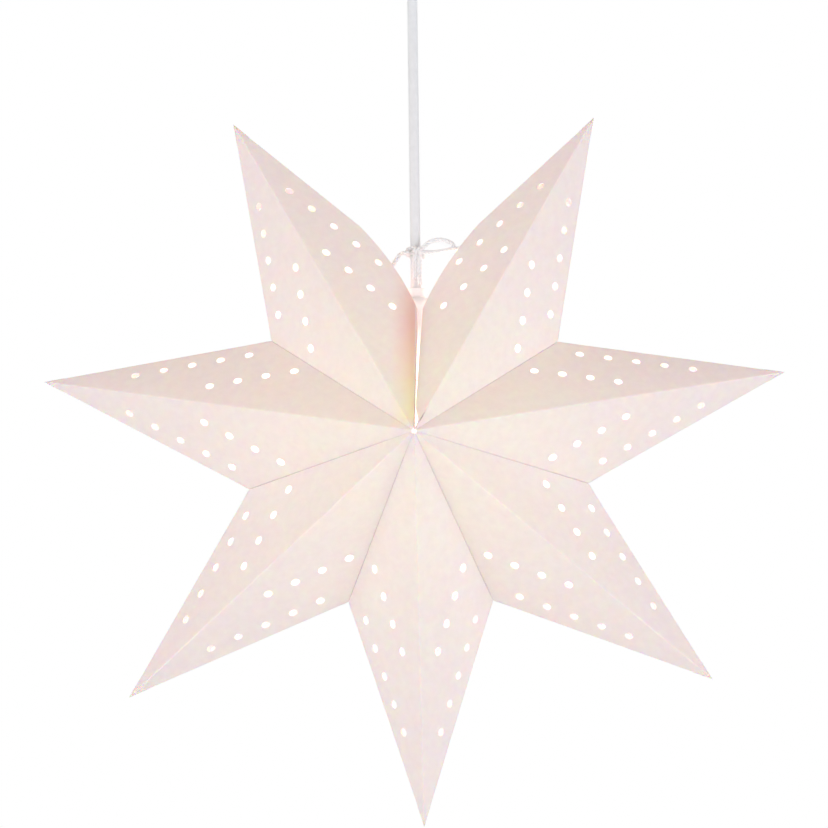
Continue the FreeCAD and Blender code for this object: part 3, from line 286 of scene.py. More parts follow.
# %% Holes of one panel
HOLE_RADIUS = 2.5 * MM
COLLAR_RADIUS = 3.6 * MM
HOLE_SIDES = 24
OUTER_ROW = {"inset": 10.5 * MM, "start": 14.0 * MM, "pitch": 17.4 * MM, "count": 5}
INNER_ROW = {"inset": 33.5 * MM, "start": -12.2 * MM, "pitch": 17.0 * MM, "count": 4}
FREE_SHIFT = Vector((6.4, 5.5, 0)) * MM


def hole_places(free):
    """Hole centres on the flat panel: X runs from the notch to the tip, Y runs inwards."""
    shift = FREE_SHIFT if free else Vector()
    return [Vector((row["start"] + step * row["pitch"], row["inset"], 0)) + shift
            for row in (OUTER_ROW, INNER_ROW) for step in range(row["count"])]


print(len(hole_places(False)), "holes in each panel")

# %% Corners of a sleeve
GLUE_GAP = 0.1 * MM
SLIT_WIDTH = 1.5 * MM
SLIT_CORNER = 105 * MM
FREE_ANGLE = math.pi - (len(ARM_NUMBERS) - LOWEST_ARM) * ARM_PITCH
APEX_HOLE = 1.5 * MM
FREE_SIDE = {ARM_NUMBERS[0]: 1, ARM_NUMBERS[-1]: -1}


def in_plane(radius, angle):
    return Vector((radius * math.cos(angle), 0, radius * math.sin(angle)))


def is_free(number, side):
    """Is this side of the arm one of the two beside the slit, which aren't glued?"""
    return FREE_SIDE.get(number) == side


def notch_corner(free):
    """The inner corner of a side: at a glued notch, or at the slit."""
    if free:
        half_slit = in_plane(SLIT_WIDTH / 2, FREE_ANGLE - math.pi / 2)
        return in_plane(SLIT_CORNER, FREE_ANGLE) + half_slit
    return in_plane(NOTCH_RADIUS, ARM_PITCH / 2 - GLUE_GAP / 2 / NOTCH_RADIUS)


def panel_matrix(corner):
    """Turns a flat panel into its place: the front panel above the ridge."""
    along = (TIP - corner).normalized()
    normal = along.cross(FRONT_APEX - corner).normalized()
    inward = normal.cross(along)
    axes = Matrix((along, inward, normal)).transposed().to_4x4()
    return Matrix.Translation(corner) @ axes


# %% [markdown]
# The two sleeves at the top have a free side. Its corner is trimmed off along a shallow curve, so
# that there is room for the cord and the string.

# %% Trimmed corner
TRIM_LENGTH = 47 * MM
TRIM_END = 80 * MM
TRIM_BULGE = 2.8 * MM
TRIM_STEPS = 10


def trimmed_edge(corner):
    """Points of the trimmed edge, in the star's middle plane, bulging most half-way."""
    start = corner + (TIP - corner).normalized() * TRIM_LENGTH
    end = corner * (TRIM_END / SLIT_CORNER)
    chord = (end - start).normalized()
    to_corner = corner - (start + end) / 2
    outward = (to_corner - chord * to_corner.dot(chord)).normalized()
    points = []
    for step in range(TRIM_STEPS + 1):
        share = step / TRIM_STEPS
        rise = TRIM_BULGE * 4 * share * (1 - share)
        points.append(start.lerp(end, share) + outward * rise)
    return points


def onto_panel(point, corner):
    """The same point seen from the front, on the panel."""
    normal = panel_matrix(corner).col[2].to_3d()
    away = point - corner
    return Vector((point.x, corner.y - (normal.x * away.x + normal.z * away.z) / normal.y, point.z))


def panel_outline(corner, free):
    """Corners of a panel in the arm's frame, from the crease by the notch to the tip and apex."""
    near_apex = [FRONT_APEX + (TIP - FRONT_APEX) * (APEX_HOLE / TIP.x),
                 FRONT_APEX + (corner - FRONT_APEX) * (APEX_HOLE / corner.length)]
    if not free:
        return [corner, TIP] + near_apex
    edge = [onto_panel(point, corner) for point in trimmed_edge(corner)]
    return [edge[0], TIP] + near_apex + edge[:0:-1]


# %% [markdown]
# Card under tension isn't flat. Each panel bows outwards by under a millimetre in its middle, and
# wanders a little, which gives the soft change of tone along a real sleeve. The panel is first cut
# into strips so that there is something to bend. The bow follows the product of a point's shares of
# the three corners, which is 0 along every edge and 1/27 in the middle.

# %% One bowed panel
STRIP = 7 * MM
APEX_CUTS = [3 * MM, 6 * MM]
PRODUCT_TO_ONE = 27
BOW = 0.9 * MM
WANDER = 0.35 * MM
WANDER_SIZE = 60 * MM


def cut_across(bm, axis, places):
    """Cuts square across one axis at each place."""
    direction = Vector((0, 0, 0))
    direction[axis] = 1
    for place in places:
        geometry = bm.verts[:] + bm.edges[:] + bm.faces[:]
        bmesh.ops.bisect_plane(bm, geom=geometry, dist=TINY, plane_co=direction * place,
                               plane_no=direction)


def strips(reach):
    return [step * STRIP for step in range(1, int(reach / STRIP) + 1)]


def bend_panel(bm, corner, seed):
    """Moves each point outwards by how far it is from the panel's three edges."""
    outward = -panel_matrix(corner).col[2].to_3d()
    if outward.y > 0:
        outward.negate()
    into = panel_matrix(corner).inverted()
    tip, apex = into @ TIP, into @ FRONT_APEX
    for vert in bm.verts:
        flat = into @ vert.co
        apex_share = flat.y / apex.y
        tip_share = (flat.x - apex.x * apex_share) / tip.x
        corner_share = 1 - apex_share - tip_share
        bump = max(0.0, PRODUCT_TO_ONE * apex_share * tip_share * corner_share)
        drift = noise.noise(vert.co / WANDER_SIZE + Vector((seed, 0, 0)))
        vert.co += outward * bump * (BOW + WANDER * drift)


def circle_edges(bm, centre, radius):
    """Edges of a new circle, each once."""
    circle = bmesh.ops.create_circle(bm, segments=HOLE_SIDES, radius=radius,
                                     matrix=Matrix.Translation(centre))["verts"]
    return list({edge for vert in circle for edge in vert.link_edges})


def bowed_panel(free, seed):
    """A punched, bowed panel of the arm's front, on its +Z side."""
    corner = notch_corner(free)
    bm = bmesh.new()
    place = panel_matrix(corner)
    into = place.inverted()
    rim = [bm.verts.new(into @ point) for point in panel_outline(corner, free)]
    for vert, after in zip(rim, rim[1:] + rim[:1]):
        bm.edges.new((vert, after))
    collars = [circle_edges(bm, centre, COLLAR_RADIUS) for centre in hole_places(free)]
    bmesh.ops.triangle_fill(bm, use_beauty=True, edges=bm.edges[:])
    for centre, collar in zip(hole_places(free), collars):
        punched = circle_edges(bm, centre, HOLE_RADIUS)
        bmesh.ops.bridge_loops(bm, edges=collar + punched)
    bmesh.ops.transform(bm, matrix=place, verts=bm.verts)
    cut_across(bm, 0, APEX_CUTS + strips(TIP.x))
    cut_across(bm, 2, strips(NOTCH_RADIUS))
    bend_panel(bm, corner, seed)
    return bm


trial = bowed_panel(False, 0)
print("a panel has", len(trial.faces), "faces")
trial.free()

# %% [markdown]
# ## Flaps and the whole sleeve
# Along each seam the card turns in by 12 mm, and that flap is what the next arm is glued to. The
# flap is the panel's seam edge, extruded straight back. Half a sleeve is a panel and its flap; it
# is mirrored for the back, and a second half closes the sleeve along its ridge.

# %% Flaps and half sleeves
FLAP = 12 * MM
LAMP_SPACE = 15 * MM
NEAR = 0.02 * MM


def on_seam(vert, corner):
    """Is this point on the panel's edge from the notch corner to the apex?"""
    edge = (corner - FRONT_APEX).normalized()
    away = vert.co - FRONT_APEX
    return (away - edge * away.dot(edge)).length < NEAR


def add_flap(bm, corner, free):
    """Extrudes the seam straight back, so far that the flap is FLAP wide square to the seam."""
    seam = [edge for edge in bm.edges
            if edge.is_boundary and all(on_seam(vert, corner) for vert in edge.verts)]
    turned = bmesh.ops.extrude_edge_only(bm, edges=seam)["geom"]
    slope = math.hypot(corner.length, HALF_DEPTH)
    depth = FLAP * slope / corner.length
    limit = -LAMP_SPACE if free else 0.0
    for vert in turned:
        if isinstance(vert, bmesh.types.BMVert):
            vert.co.y = max(min(vert.co.y + depth, limit), vert.co.y)


def half_sleeve(free, seed):
    """Front and back panel of one side, with their flaps, on the arm's +Z side."""
    bm = bowed_panel(free, seed)
    add_flap(bm, notch_corner(free), free)
    bmesh.ops.mirror(bm, geom=bm.verts[:] + bm.edges[:] + bm.faces[:], matrix=Matrix.Identity(4),
                     merge_dist=NEAR, axis="Y")
    return bm


# %% [markdown]
# Hand-folded and hand-glued sleeves never come out quite even: a tip ends a few millimetres to one
# side, and a glued seam pulls its neighbours along. Every tip and every notch gets its own small
# shift, to the right and up in millimetres, and a point between them takes its share of both, so
# that glued seams stay together. A notch has the number of the arm before it.

# %% How the star has settled
TIP_SHIFT = {1: (-0.4, 0.0), 2: (-2.1, -2.0), 3: (-1.9, 2.2), 4: (1.0, -0.1), 5: (0.5, -4.5),
             6: (-3.3, -0.7), 7: (-0.4, 0.1)}
NOTCH_SHIFT = {1: (-0.2, -1.1), 2: (-0.1, 1.0), 3: (-1.1, 0.8), 4: (2.2, 1.0), 5: (0.2, 0.4),
               6: (-2.5, 2.4)}
SLIT_SHIFT = {1: (5.0, 0.0), 7: (2.4, 0.0)}
GAPE = 2.0 * MM
GAPE_FROM = 1.5 * MM
GAPE_TO = 11 * MM
GAPE_REACH = 5 * MM


def arm_matrix(number):
    turn = (LOWEST_ARM - number) * ARM_PITCH - math.pi / 2
    return Matrix.Translation(CENTRE) @ Matrix.Rotation(turn, 4, Vector((0, -1, 0)))


def side_shift(number, side):
    """Shift of the arm's inner corner on one side: at a notch, or at the slit."""
    if is_free(number, side):
        return SLIT_SHIFT[number]
    return NOTCH_SHIFT[number - 1 if side > 0 else number]


def settled(point, number):
    """Where a point of the ideal arm has ended up, in the arm's own frame."""
    side = 1 if point.z > 0 else -1
    free = is_free(number, side)
    corner = notch_corner(free)
    corner_share = abs(point.z) / corner.z
    tip_share = (point.x - corner_share * corner.x) / TIP.x
    shift = Vector((0, 0, 0))
    for share, (right, up) in ((corner_share, side_shift(number, side)),
                               (tip_share, TIP_SHIFT[number])):
        shift += Vector((right, 0, up)) * share * MM
    if free and number == ARM_NUMBERS[0]:
        shift.x += gape(point, corner)
    return point + arm_matrix(number).to_3x3().inverted() @ shift


def gape(point, corner):
    """Just above the front apex the slit opens like a leaf."""
    edge = Vector((corner.x, 0, corner.z)).normalized()
    flat = Vector((point.x, 0, point.z))
    along = flat.dot(edge)
    away = (flat - edge * along).length
    if point.y > 0 or not GAPE_FROM < along < GAPE_TO:
        return 0.0
    open_share = math.sin(math.pi * (along - GAPE_FROM) / (GAPE_TO - GAPE_FROM))
    return GAPE * open_share * max(0.0, 1 - away / GAPE_REACH)


print("largest tip shift", max(abs(value) for shift in TIP_SHIFT.values() for value in shift), "mm")

# %% Sleeves
RIDGE_WIDTH = 0.75 * MM
CREASE_WIDTH = 0.35 * MM
SHARP_END = 9 * MM
FOLD_SEGMENTS = 3
FOLD_ANGLE = math.radians(12)
SEED_STEP = 3.7


def mesh_of(bm, name, material):
    """The finished mesh. The bmesh isn't needed any more and is freed."""
    mesh = bpy.data.meshes.new(name)
    bm.to_mesh(mesh)
    bm.free()
    mesh.materials.append(material)
    return mesh


def round_the_folds(bm):
    """Folded card has a small radius, so each crease becomes a narrow round strip.

    At the tip and at both ends of the middle the creases run together, and stay sharp.
    """
    back_apex = Vector((FRONT_APEX.x, -FRONT_APEX.y, FRONT_APEX.z))
    folds = [edge for edge in bm.edges
             if len(edge.link_faces) == 2 and edge.calc_face_angle(0) > FOLD_ANGLE
             and all((vert.co - end).length > SHARP_END
                     for vert in edge.verts for end in (TIP, FRONT_APEX, back_apex))]
    ridges = [edge for edge in folds if all(abs(vert.co.z) < NEAR for vert in edge.verts)]
    creases = [edge for edge in folds if edge not in ridges]
    rounded = set()
    for edges, width in ((creases, CREASE_WIDTH), (ridges, RIDGE_WIDTH)):
        made = bmesh.ops.bevel(bm, geom=edges, offset=width, offset_type="OFFSET",
                               segments=FOLD_SEGMENTS, profile=0.5, affect="EDGES", material=-1,
                               clamp_overlap=False)
        rounded.update(made["faces"])
    for face in bm.faces:
        face.smooth = True
    for edge in bm.edges:
        sides = [face in rounded for face in edge.link_faces]
        if len(sides) == 1 or sides[0] != sides[1]:
            edge.smooth = False


def build_sleeve(number):
    """Both halves of one arm, joined along the ridge and turned to the arm's direction."""
    whole = bmesh.new()
    for side in (1, -1):
        half = half_sleeve(is_free(number, side), number * SEED_STEP + side)
        if side < 0:
            bmesh.ops.scale(half, vec=(1, 1, -1), verts=half.verts)
        mesh = bpy.data.meshes.new("half")
        half.to_mesh(mesh)
        half.free()
        whole.from_mesh(mesh)
        bpy.data.meshes.remove(mesh)
    bmesh.ops.remove_doubles(whole, verts=whole.verts, dist=NEAR)
    bmesh.ops.recalc_face_normals(whole, faces=whole.faces)
    ridge_face = max(whole.faces, key=lambda face: -face.calc_center_median().y)
    if ridge_face.normal.y > 0:
        bmesh.ops.reverse_faces(whole, faces=whole.faces)
    round_the_folds(whole)
    for vert in whole.verts:
        vert.co = settled(vert.co, number)
    bmesh.ops.transform(whole, matrix=arm_matrix(number), verts=whole.verts)
    return whole


def add_piece(name, mesh):
    piece = bpy.data.objects.new(name, mesh)
    bpy.context.scene.collection.objects.link(piece)
    return piece


# %% [markdown]
# ## Seven arms
# Each arm rides on its own body. Real card creases flat as the star is folded, where a rigid body
# can't. Arm 4 is the one that the others fold down onto.

# %% Arms
PARENT_BODY = {number: f"arm_{number}" for number in ARM_NUMBERS}
PARENT_BODY[LOWEST_ARM] = "star"


def fold_with_arm(piece, number):
    """Rides on the arm's body, with a mesh of its own."""
    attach(piece, PARENT_BODY[number])
    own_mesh(piece)


for number in ARM_NUMBERS:
    name = f"card_arm_{number}"
    arm = add_piece(name, mesh_of(build_sleeve(number), name, card_white))
    thickness = arm.modifiers.new("card", "SOLIDIFY")
    thickness.thickness = CARD
    thickness.offset = -1
    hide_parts(f"arm_{number}")
    fold_with_arm(arm, number)
    print(arm.name, len(arm.data.polygons), "faces")

# %% [markdown]
# ## Twisted string
# The tie is soft cotton string of three strands. A plain tube would look like wire, so each string
# starts as a smooth line, and three thin tubes wind round that line. The line is a NURBS spline,
# and the strands follow points read from it, carried along without twisting by themselves.

# %% Points along a smooth line
LINE_STEPS = 10
LINE_ORDER = 3


def smooth_curve(name, points):
    curve = bpy.data.curves.new(name, "CURVE")
    curve.dimensions = "3D"
    spline = curve.splines.new("NURBS")
    spline.points.add(len(points) - 1)
    for spot, point in zip(spline.points, points):
        spot.co = (*point, 1)
    spline.order_u = LINE_ORDER
    spline.use_endpoint_u = True
    spline.resolution_u = LINE_STEPS
    return curve


def read_line(points):
    """Points along the smooth line, none of them twice."""
    curve = smooth_curve("line", points)
    holder = bpy.data.objects.new("line", curve)
    mesh = bpy.data.meshes.new_from_object(holder)
    line = [vert.co.copy() for vert in mesh.vertices]
    bpy.data.objects.remove(holder)
    bpy.data.curves.remove(curve)
    bpy.data.meshes.remove(mesh)
    return line[:1] + [after for before, after in zip(line, line[1:])
                       if (after - before).length > TINY]


# %% Strands round a line
STRANDS = 3
STRAND_RADIUS = 0.74 * MM
STRAND_OFFSET = 0.66 * MM
TWIST_LENGTH = 7 * MM
STRAND_BEVEL = 2


def strand_points(line, phase):
    """Points of one strand: round the line once every TWIST_LENGTH."""
    heading = (line[1] - line[0]).normalized()
    aside = heading.orthogonal().normalized()
    gone = 0.0
    points = []
    for before, spot, after in zip(line[:1] + line, line, line[1:] + line[-1:]):
        turned = (after - before).normalized()
        aside = heading.rotation_difference(turned) @ aside
        heading = turned
        gone += (spot - before).length
        angle = phase + 2 * math.pi * gone / TWIST_LENGTH
        around_line = aside * math.cos(angle) + heading.cross(aside) * math.sin(angle)
        points.append(spot + STRAND_OFFSET * around_line)
    return points


def twisted_mesh(name, routes, material):
    """One mesh of all the strings of a piece, each of three strands."""
    curve = bpy.data.curves.new(name, "CURVE")
    curve.dimensions = "3D"
    curve.bevel_depth = STRAND_RADIUS
    curve.bevel_resolution = STRAND_BEVEL
    curve.use_fill_caps = True
    for route in routes:
        line = read_line(route)
        for strand in range(STRANDS):
            points = strand_points(line, 2 * math.pi * strand / STRANDS)
            spline = curve.splines.new("POLY")
            spline.points.add(len(points) - 1)
            for spot, point in zip(spline.points, points):
                spot.co = (*point, 1)
    holder = bpy.data.objects.new(name, curve)
    mesh = bpy.data.meshes.new_from_object(holder)
    mesh.name = name
    bpy.data.objects.remove(holder)
    bpy.data.curves.remove(curve)
    mesh.materials.clear()
    mesh.materials.append(material)
    mesh.shade_smooth()
    return mesh


# %% Cotton
COTTON_DARK = (0.94, 0.94, 0.94)
COTTON_LIGHT = (0.96, 0.96, 0.955)
HAIR_SIZE = 0.18 * MM
HAIR_HEIGHT = 0.02 * MM
SOIL_SIZE = 4 * MM


def make_cotton():
    """Soft white fibres: matt, a little see-through, with a fine fuzzy relief."""
    material, shader = new_material("tie_cotton")
    fibres = speckle(material, HAIR_SIZE, 4, (1, 1, 0.3))
    soiling = speckle(material, SOIL_SIZE, 3)
    tone = two_tones(material, ramp(material, soiling, 0, 1), COTTON_DARK, COTTON_LIGHT)
    join(material, tone, shader.inputs["Base Color"])
    shader.inputs["Roughness"].default_value = 0.92
    shader.inputs["Specular IOR Level"].default_value = 0.2
    shader.inputs["Sheen Weight"].default_value = 0.25
    shader.inputs["Sheen Roughness"].default_value = 0.6
    shader.inputs["Subsurface Weight"].default_value = 0.8
    shader.inputs["Subsurface Radius"].default_value = (1.0, 0.85, 0.75)
    shader.inputs["Subsurface Scale"].default_value = 0.9 * MM
    relief(material, fibres, HAIR_HEIGHT, shader)
    return material


# %% [markdown]
# ## The tie
# The string goes twice round the cord and is tied in front of it. One loop reaches to the right
# arm and two cut ends hang down side by side. The knot is a short coil that wraps them all. The
# sizes of the tie are in millimetres from the star's centre.

# %% Bow
TIE_HEIGHT = 117.1
KNOT = Vector((1.2, -7.7, TIE_HEIGHT))
WINDING_RADIUS = 4.8
WINDING_TURNS = 2
WINDING_STEPS = 12
WINDING_PITCH = 2.9
WRAP_RADIUS = 1.7
WRAP_TURNS = 1.75
WRAP_PITCH = 2.0


def around(points):
    """Points in millimetres from the star's centre, as places in the scene."""
    return [CENTRE + Vector(point) * MM for point in points]


def cord_winding():
    """Turns of the string round the cord, starting in front of it."""
    steps = WINDING_TURNS * WINDING_STEPS
    points = []
    for step in range(steps + 1):
        angle = 2 * math.pi * step / WINDING_STEPS - math.pi / 2
        height = TIE_HEIGHT + WINDING_PITCH * (step / WINDING_STEPS - WINDING_TURNS / 2)
        points.append((WINDING_RADIUS * math.cos(angle), WINDING_RADIUS * math.sin(angle), height))
    return points


def knot_wrap():
    """Turns of the short coil that is the knot."""
    steps = int(WRAP_TURNS * WINDING_STEPS)
    points = []
    for step in range(steps + 1):
        angle = 2 * math.pi * step / WINDING_STEPS
        along = WRAP_PITCH * (step / WINDING_STEPS - WRAP_TURNS / 2)
        points.append(KNOT + Vector((along, WRAP_RADIUS * math.cos(angle),
                                     WRAP_RADIUS * math.sin(angle))))
    return points


def from_knot(*offsets):
    """A route whose points are given from the knot."""
    return [KNOT + Vector(offset) for offset in offsets]


LOOP = from_knot((-1.6, 0.5, -0.3), (2.5, -0.1, -0.9), (7.5, 0.9, -0.7), (13.5, 2.1, -0.2),
                 (19.0, 3.0, 1.0), (22.3, 3.4, 2.4), (22.6, 3.4, 4.2), (19.0, 2.8, 6.4),
                 (13.2, 1.8, 7.4), (8.0, 0.8, 6.0), (4.6, 0.1, 3.0), (1.8, -0.2, 1.0),
                 (-1.6, 0.2, 0.6))
LEFT_END = from_knot((-0.6, 0.2, 0.3), (-1.5, -0.4, -3.0), (-1.8, -0.4, -7.5), (-1.5, 0.0, -12.5),
                     (-1.7, 0.3, -17.0))
RIGHT_END = from_knot((0.6, 0.2, 0.3), (1.6, -0.5, -3.2), (1.5, -0.5, -8.5), (1.2, -0.1, -14.5),
                      (1.5, 0.1, -20.4))

cotton = make_cotton()
bow_routes = [around(route) for route in (cord_winding(), knot_wrap(), LOOP, LEFT_END, RIGHT_END)]
bow = add_piece("bow_string", twisted_mesh("bow_string", bow_routes, cotton))
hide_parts("tie_bow")
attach(bow, "star")
print("bow of", len(bow.data.polygons), "faces")

# %% [markdown]
# From the cord the string runs to each of the two top arms, through a card tab that is glued
# inside the arm, to a stopper knot behind it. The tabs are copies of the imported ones, moved along
# with their arm. Each tied arm has its number, its side of the cord, and how far out and how high
# the string passes its trimmed edge.

# %% Strings and tabs in the arms
TIED_ARMS = {"right": (1, 1, 22.45, 119.59), "left": (7, -1, 16.1, 109.3)}
BY_THE_CORD = ((3.4, -4.9), (6.3, -3.9))
STRING_START = 6.4
STRING_BEND = 9.75
START_SHARE = 0.2
BEND_SHARE = 0.3
TAB_SETBACK = 4.0
TAB_HALF = 0.55
TAB_MERGE = 0.002 * MM
STRING_PAST_KNOT = 0.8
STOPPER = 2.8
STOPPER_TURNS = 2.25
STOPPER_RADIUS = 1.35


def settled_place(point, number):
    """A place in the scene, moved as its arm has settled."""
    frame_of_arm = arm_matrix(number)
    return frame_of_arm @ settled(frame_of_arm.inverted() @ point, number)


def side_string(number, side, mouth_x, mouth_z):
    """Routes of one side string: cord to stopper knot, and the turns of that knot."""
    start, bend, mouth = around([(side * STRING_START, 0, TIE_HEIGHT),
                                 (side * STRING_BEND, 0, TIE_HEIGHT), (side * mouth_x, 0, mouth_z)])
    ahead = (mouth - bend).normalized()
    knot = mouth + ahead * (TAB_SETBACK + TAB_HALF + STOPPER) * MM
    string_end = knot + ahead * STOPPER * STRING_PAST_KNOT * MM
    mouth, string_end, knot = [settled_place(point, number) for point in (mouth, string_end, knot)]
    route = around([(side * right, front, TIE_HEIGHT) for right, front in BY_THE_CORD])
    route += [bend.lerp(start, START_SHARE), bend.lerp(mouth, BEND_SHARE), mouth,
              mouth.lerp(string_end, 0.5), string_end]
    upward = ahead.cross(Vector((0, 1, 0))).normalized()
    turns = []
    for step in range(int(STOPPER_TURNS * WINDING_STEPS) + 1):
        angle = 2 * math.pi * step / WINDING_STEPS
        along = (step / WINDING_STEPS / STOPPER_TURNS - 0.5) * STOPPER
        turns.append(knot + (ahead * along + Vector((0, 1, 0)) * STOPPER_RADIUS * math.cos(angle)
                             + upward * STOPPER_RADIUS * math.sin(angle)) * MM)
    return [route, turns]


for name, (number, side, mouth_x, mouth_z) in TIED_ARMS.items():
    routes = side_string(number, side, mouth_x, mouth_z)
    string = add_piece(f"side_string_{name}", twisted_mesh(f"side_string_{name}", routes, cotton))
    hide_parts(f"tie_string_{name}")
    fold_with_arm(string, number)
    bm = bmesh.new()
    bm.from_mesh(NODES[f"string_tab_{name}"].data)
    bmesh.ops.remove_doubles(bm, verts=bm.verts, dist=TAB_MERGE)
    for vert in bm.verts:
        vert.co = settled_place(vert.co, number)
    tab = add_piece(f"card_tab_{name}", mesh_of(bm, f"card_tab_{name}", card_white))
    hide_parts(f"string_tab_{name}")
    fold_with_arm(tab, number)
    print(string.name, len(string.data.polygons), "faces")

# %% [markdown]
# ## Lamp cord
# A taut two-core cord hangs from the ceiling fitting. It is a curve with a round bevel, and its
# points are the cord's own route.

# %% Cord
CORD_DIAMETER = 6.3 * MM
CORD_BEVEL = 10
CORD_BOTTOM = CENTRE.z + 81.9 * MM
CORD_TOP = -34.85 * MM
CORD_ROUTE = [(0, 0, CORD_BOTTOM), (0, 0, -0.22), (0, 0, -0.16), (0, 0, -0.10), (0, 0, CORD_TOP)]


def make_cord_curve(name, route):
    curve = smooth_curve(name, route)
    curve.bevel_depth = CORD_DIAMETER / 2
    curve.bevel_resolution = CORD_BEVEL
    curve.use_fill_caps = True
    return curve


sheath = plain_finish("cord_sheath", (0.765, 0.785, 0.80), (0.80, 0.82, 0.835), 0.38,
                      0.4 * MM, 0.004 * MM, Coat_Weight=0.15)
cord = add_piece("lamp_cord", make_cord_curve("lamp_cord", CORD_ROUTE))
cord.data.materials.append(sheath)
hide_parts("cord")
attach(cord, "lamp")
print("cord", round(CORD_TOP - CORD_BOTTOM, 4), "m long")

# %% [markdown]
# ## Finishes of the small parts
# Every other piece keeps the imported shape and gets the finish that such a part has. A row holds the
# dark and the light tone, the roughness, the size of the grain and the height of its relief in
# millimetres, how metallic it is, and what else its shader needs.

# %% Finishes
SMALL_FINISHES = {
    "core_brown": ((0.17, 0.08, 0.04), (0.22, 0.11, 0.06), 0.45, 0.3, 0.003, 0, {}),
    "core_blue": ((0.06, 0.20, 0.50), (0.09, 0.26, 0.60), 0.45, 0.3, 0.003, 0, {}),
    "holder_plastic": ((0.90, 0.925, 0.94), (0.93, 0.95, 0.965), 0.32, 0.5, 0.004, 0,
                       {"Coat_Weight": 0.2}),
    "porcelain": ((0.80, 0.77, 0.71), (0.86, 0.84, 0.79), 0.7, 0.25, 0.01, 0, {}),
    "brass": ((0.66, 0.50, 0.24), (0.76, 0.60, 0.32), 0.3, 0.2, 0.004, 1, {}),
    "solder": ((0.50, 0.50, 0.50), (0.66, 0.66, 0.66), 0.42, 0.3, 0.02, 1, {}),
    "steel": ((0.56, 0.57, 0.58), (0.68, 0.69, 0.70), 0.3, 0.2, 0.004, 1, {}),
    "stem_glass": ((0.86, 0.90, 0.89), (0.92, 0.95, 0.94), 0.06, 1, 0.002, 0,
                   {"Transmission_Weight": 0.8}),
    "dark_glass": ((0.015, 0.015, 0.02), (0.03, 0.03, 0.035), 0.15, 0.5, 0.004, 0, {}),
    "tungsten": ((0.30, 0.28, 0.26), (0.42, 0.40, 0.38), 0.4, 0.1, 0.004, 1, {}),
    "zinc_plate": ((0.52, 0.54, 0.55), (0.68, 0.70, 0.71), 0.36, 1.2, 0.01, 1, {}),
    "cup_plastic": ((0.86, 0.86, 0.85), (0.88, 0.88, 0.87), 0.36, 0.6, 0.002, 0,
                    {"Coat_Weight": 0.1}),
    "grommet_plastic": ((0.83, 0.83, 0.81), (0.87, 0.87, 0.855), 0.4, 0.4, 0.004, 0, {}),
    "block_plastic": ((0.84, 0.84, 0.80), (0.89, 0.89, 0.86), 0.5, 0.3, 0.006, 0, {}),
}
FINISHES = {"tie_string": cotton, "star_card": card_white, "cord_sheath": sheath}
for name, (dark, light, rough, grain, height, metallic, sockets) in SMALL_FINISHES.items():
    FINISHES[name] = plain_finish(name, dark, light, rough, grain * MM, height * MM, metallic,
                                  **sockets)
print(len(FINISHES), "finishes")

# %% [markdown]
# The bulb's glass is opal and lit from inside. It glows by itself, and a light of nearly its size
# sits in it, because a small shape that glows lights a scene less evenly than a real lamp would. So
# that this light gets out, the glass casts no shadow.
#
# Between white card walls real light bounces dozens of times and so fills a sleeve to its tip. A
# render stops after a few bounces, so this light is given a slower, linear falloff instead.

# %% Bulb glass and lamp light
OPAL_DARK = (0.93, 0.90, 0.85)
OPAL_LIGHT = (0.96, 0.94, 0.90)
OPAL_CLOUDS = 6 * MM
OPAL_HEIGHT = 0.01 * MM
GLOW = (1.0, 0.86, 0.66)
GLOW_STRENGTH = 0.35
BALL_CENTRE = CENTRE + Vector((0, 0, 7.25 * MM))
LAMP_SIZE = 21 * MM
LAMP_POWER = 0.6
LAMP_REACH = 11.0
LAMP_COLOUR = (1.0, 0.96, 0.86)


def make_opal():
    material, shader = new_material("opal_glass")
    clouds = speckle(material, OPAL_CLOUDS, 3)
    tone = two_tones(material, ramp(material, clouds, 0, 1), OPAL_DARK, OPAL_LIGHT)
    join(material, tone, shader.inputs["Base Color"])
    shader.inputs["Roughness"].default_value = 0.22
    shader.inputs["Coat Weight"].default_value = 0.4
    shader.inputs["Emission Color"].default_value = (*GLOW, 1)
    shader.inputs["Emission Strength"].default_value = GLOW_STRENGTH
    relief(material, clouds, OPAL_HEIGHT, shader)
    return material


def add_lamp():
    """Point light in the bulb, with a linear falloff."""
    lamp = bpy.data.objects.new("lamp_light", bpy.data.lights.new("lamp_light", "POINT"))
    bpy.context.scene.collection.objects.link(lamp)
    lamp.location = BALL_CENTRE
    lamp.data.energy = LAMP_POWER
    lamp.data.color = LAMP_COLOUR
    lamp.data.shadow_soft_size = LAMP_SIZE
    lamp.data.use_nodes = True
    nodes, links = lamp.data.node_tree.nodes, lamp.data.node_tree.links
    reach = nodes.new("ShaderNodeLightFalloff")
    reach.inputs["Strength"].default_value = LAMP_REACH
    links.new(reach.outputs["Linear"], nodes["Emission"].inputs["Strength"])
    return lamp


FINISHES["opal_glass"] = make_opal()
for entry in frame["record"]["subparts"]:
    piece = NODES[entry["node"]]
    piece.data.materials.clear()
    piece.data.materials.append(FINISHES[entry["material_slot"]])
NODES["bulb_glass"].visible_shadow = False
lamp = add_lamp()
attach(lamp, "bulb")
print("lamp of", LAMP_POWER, "W in the bulb")

# %% [markdown]
# ## Studio
# Pale floor, white surroundings and broad soft lights. The room is brighter low down, as one with
# a pale floor is. Only a weak warm light comes from above, so faces that look up stay darker and
# show more of the lamp inside. Each light has its place and its size in metres, its power in watts
# and its colour.

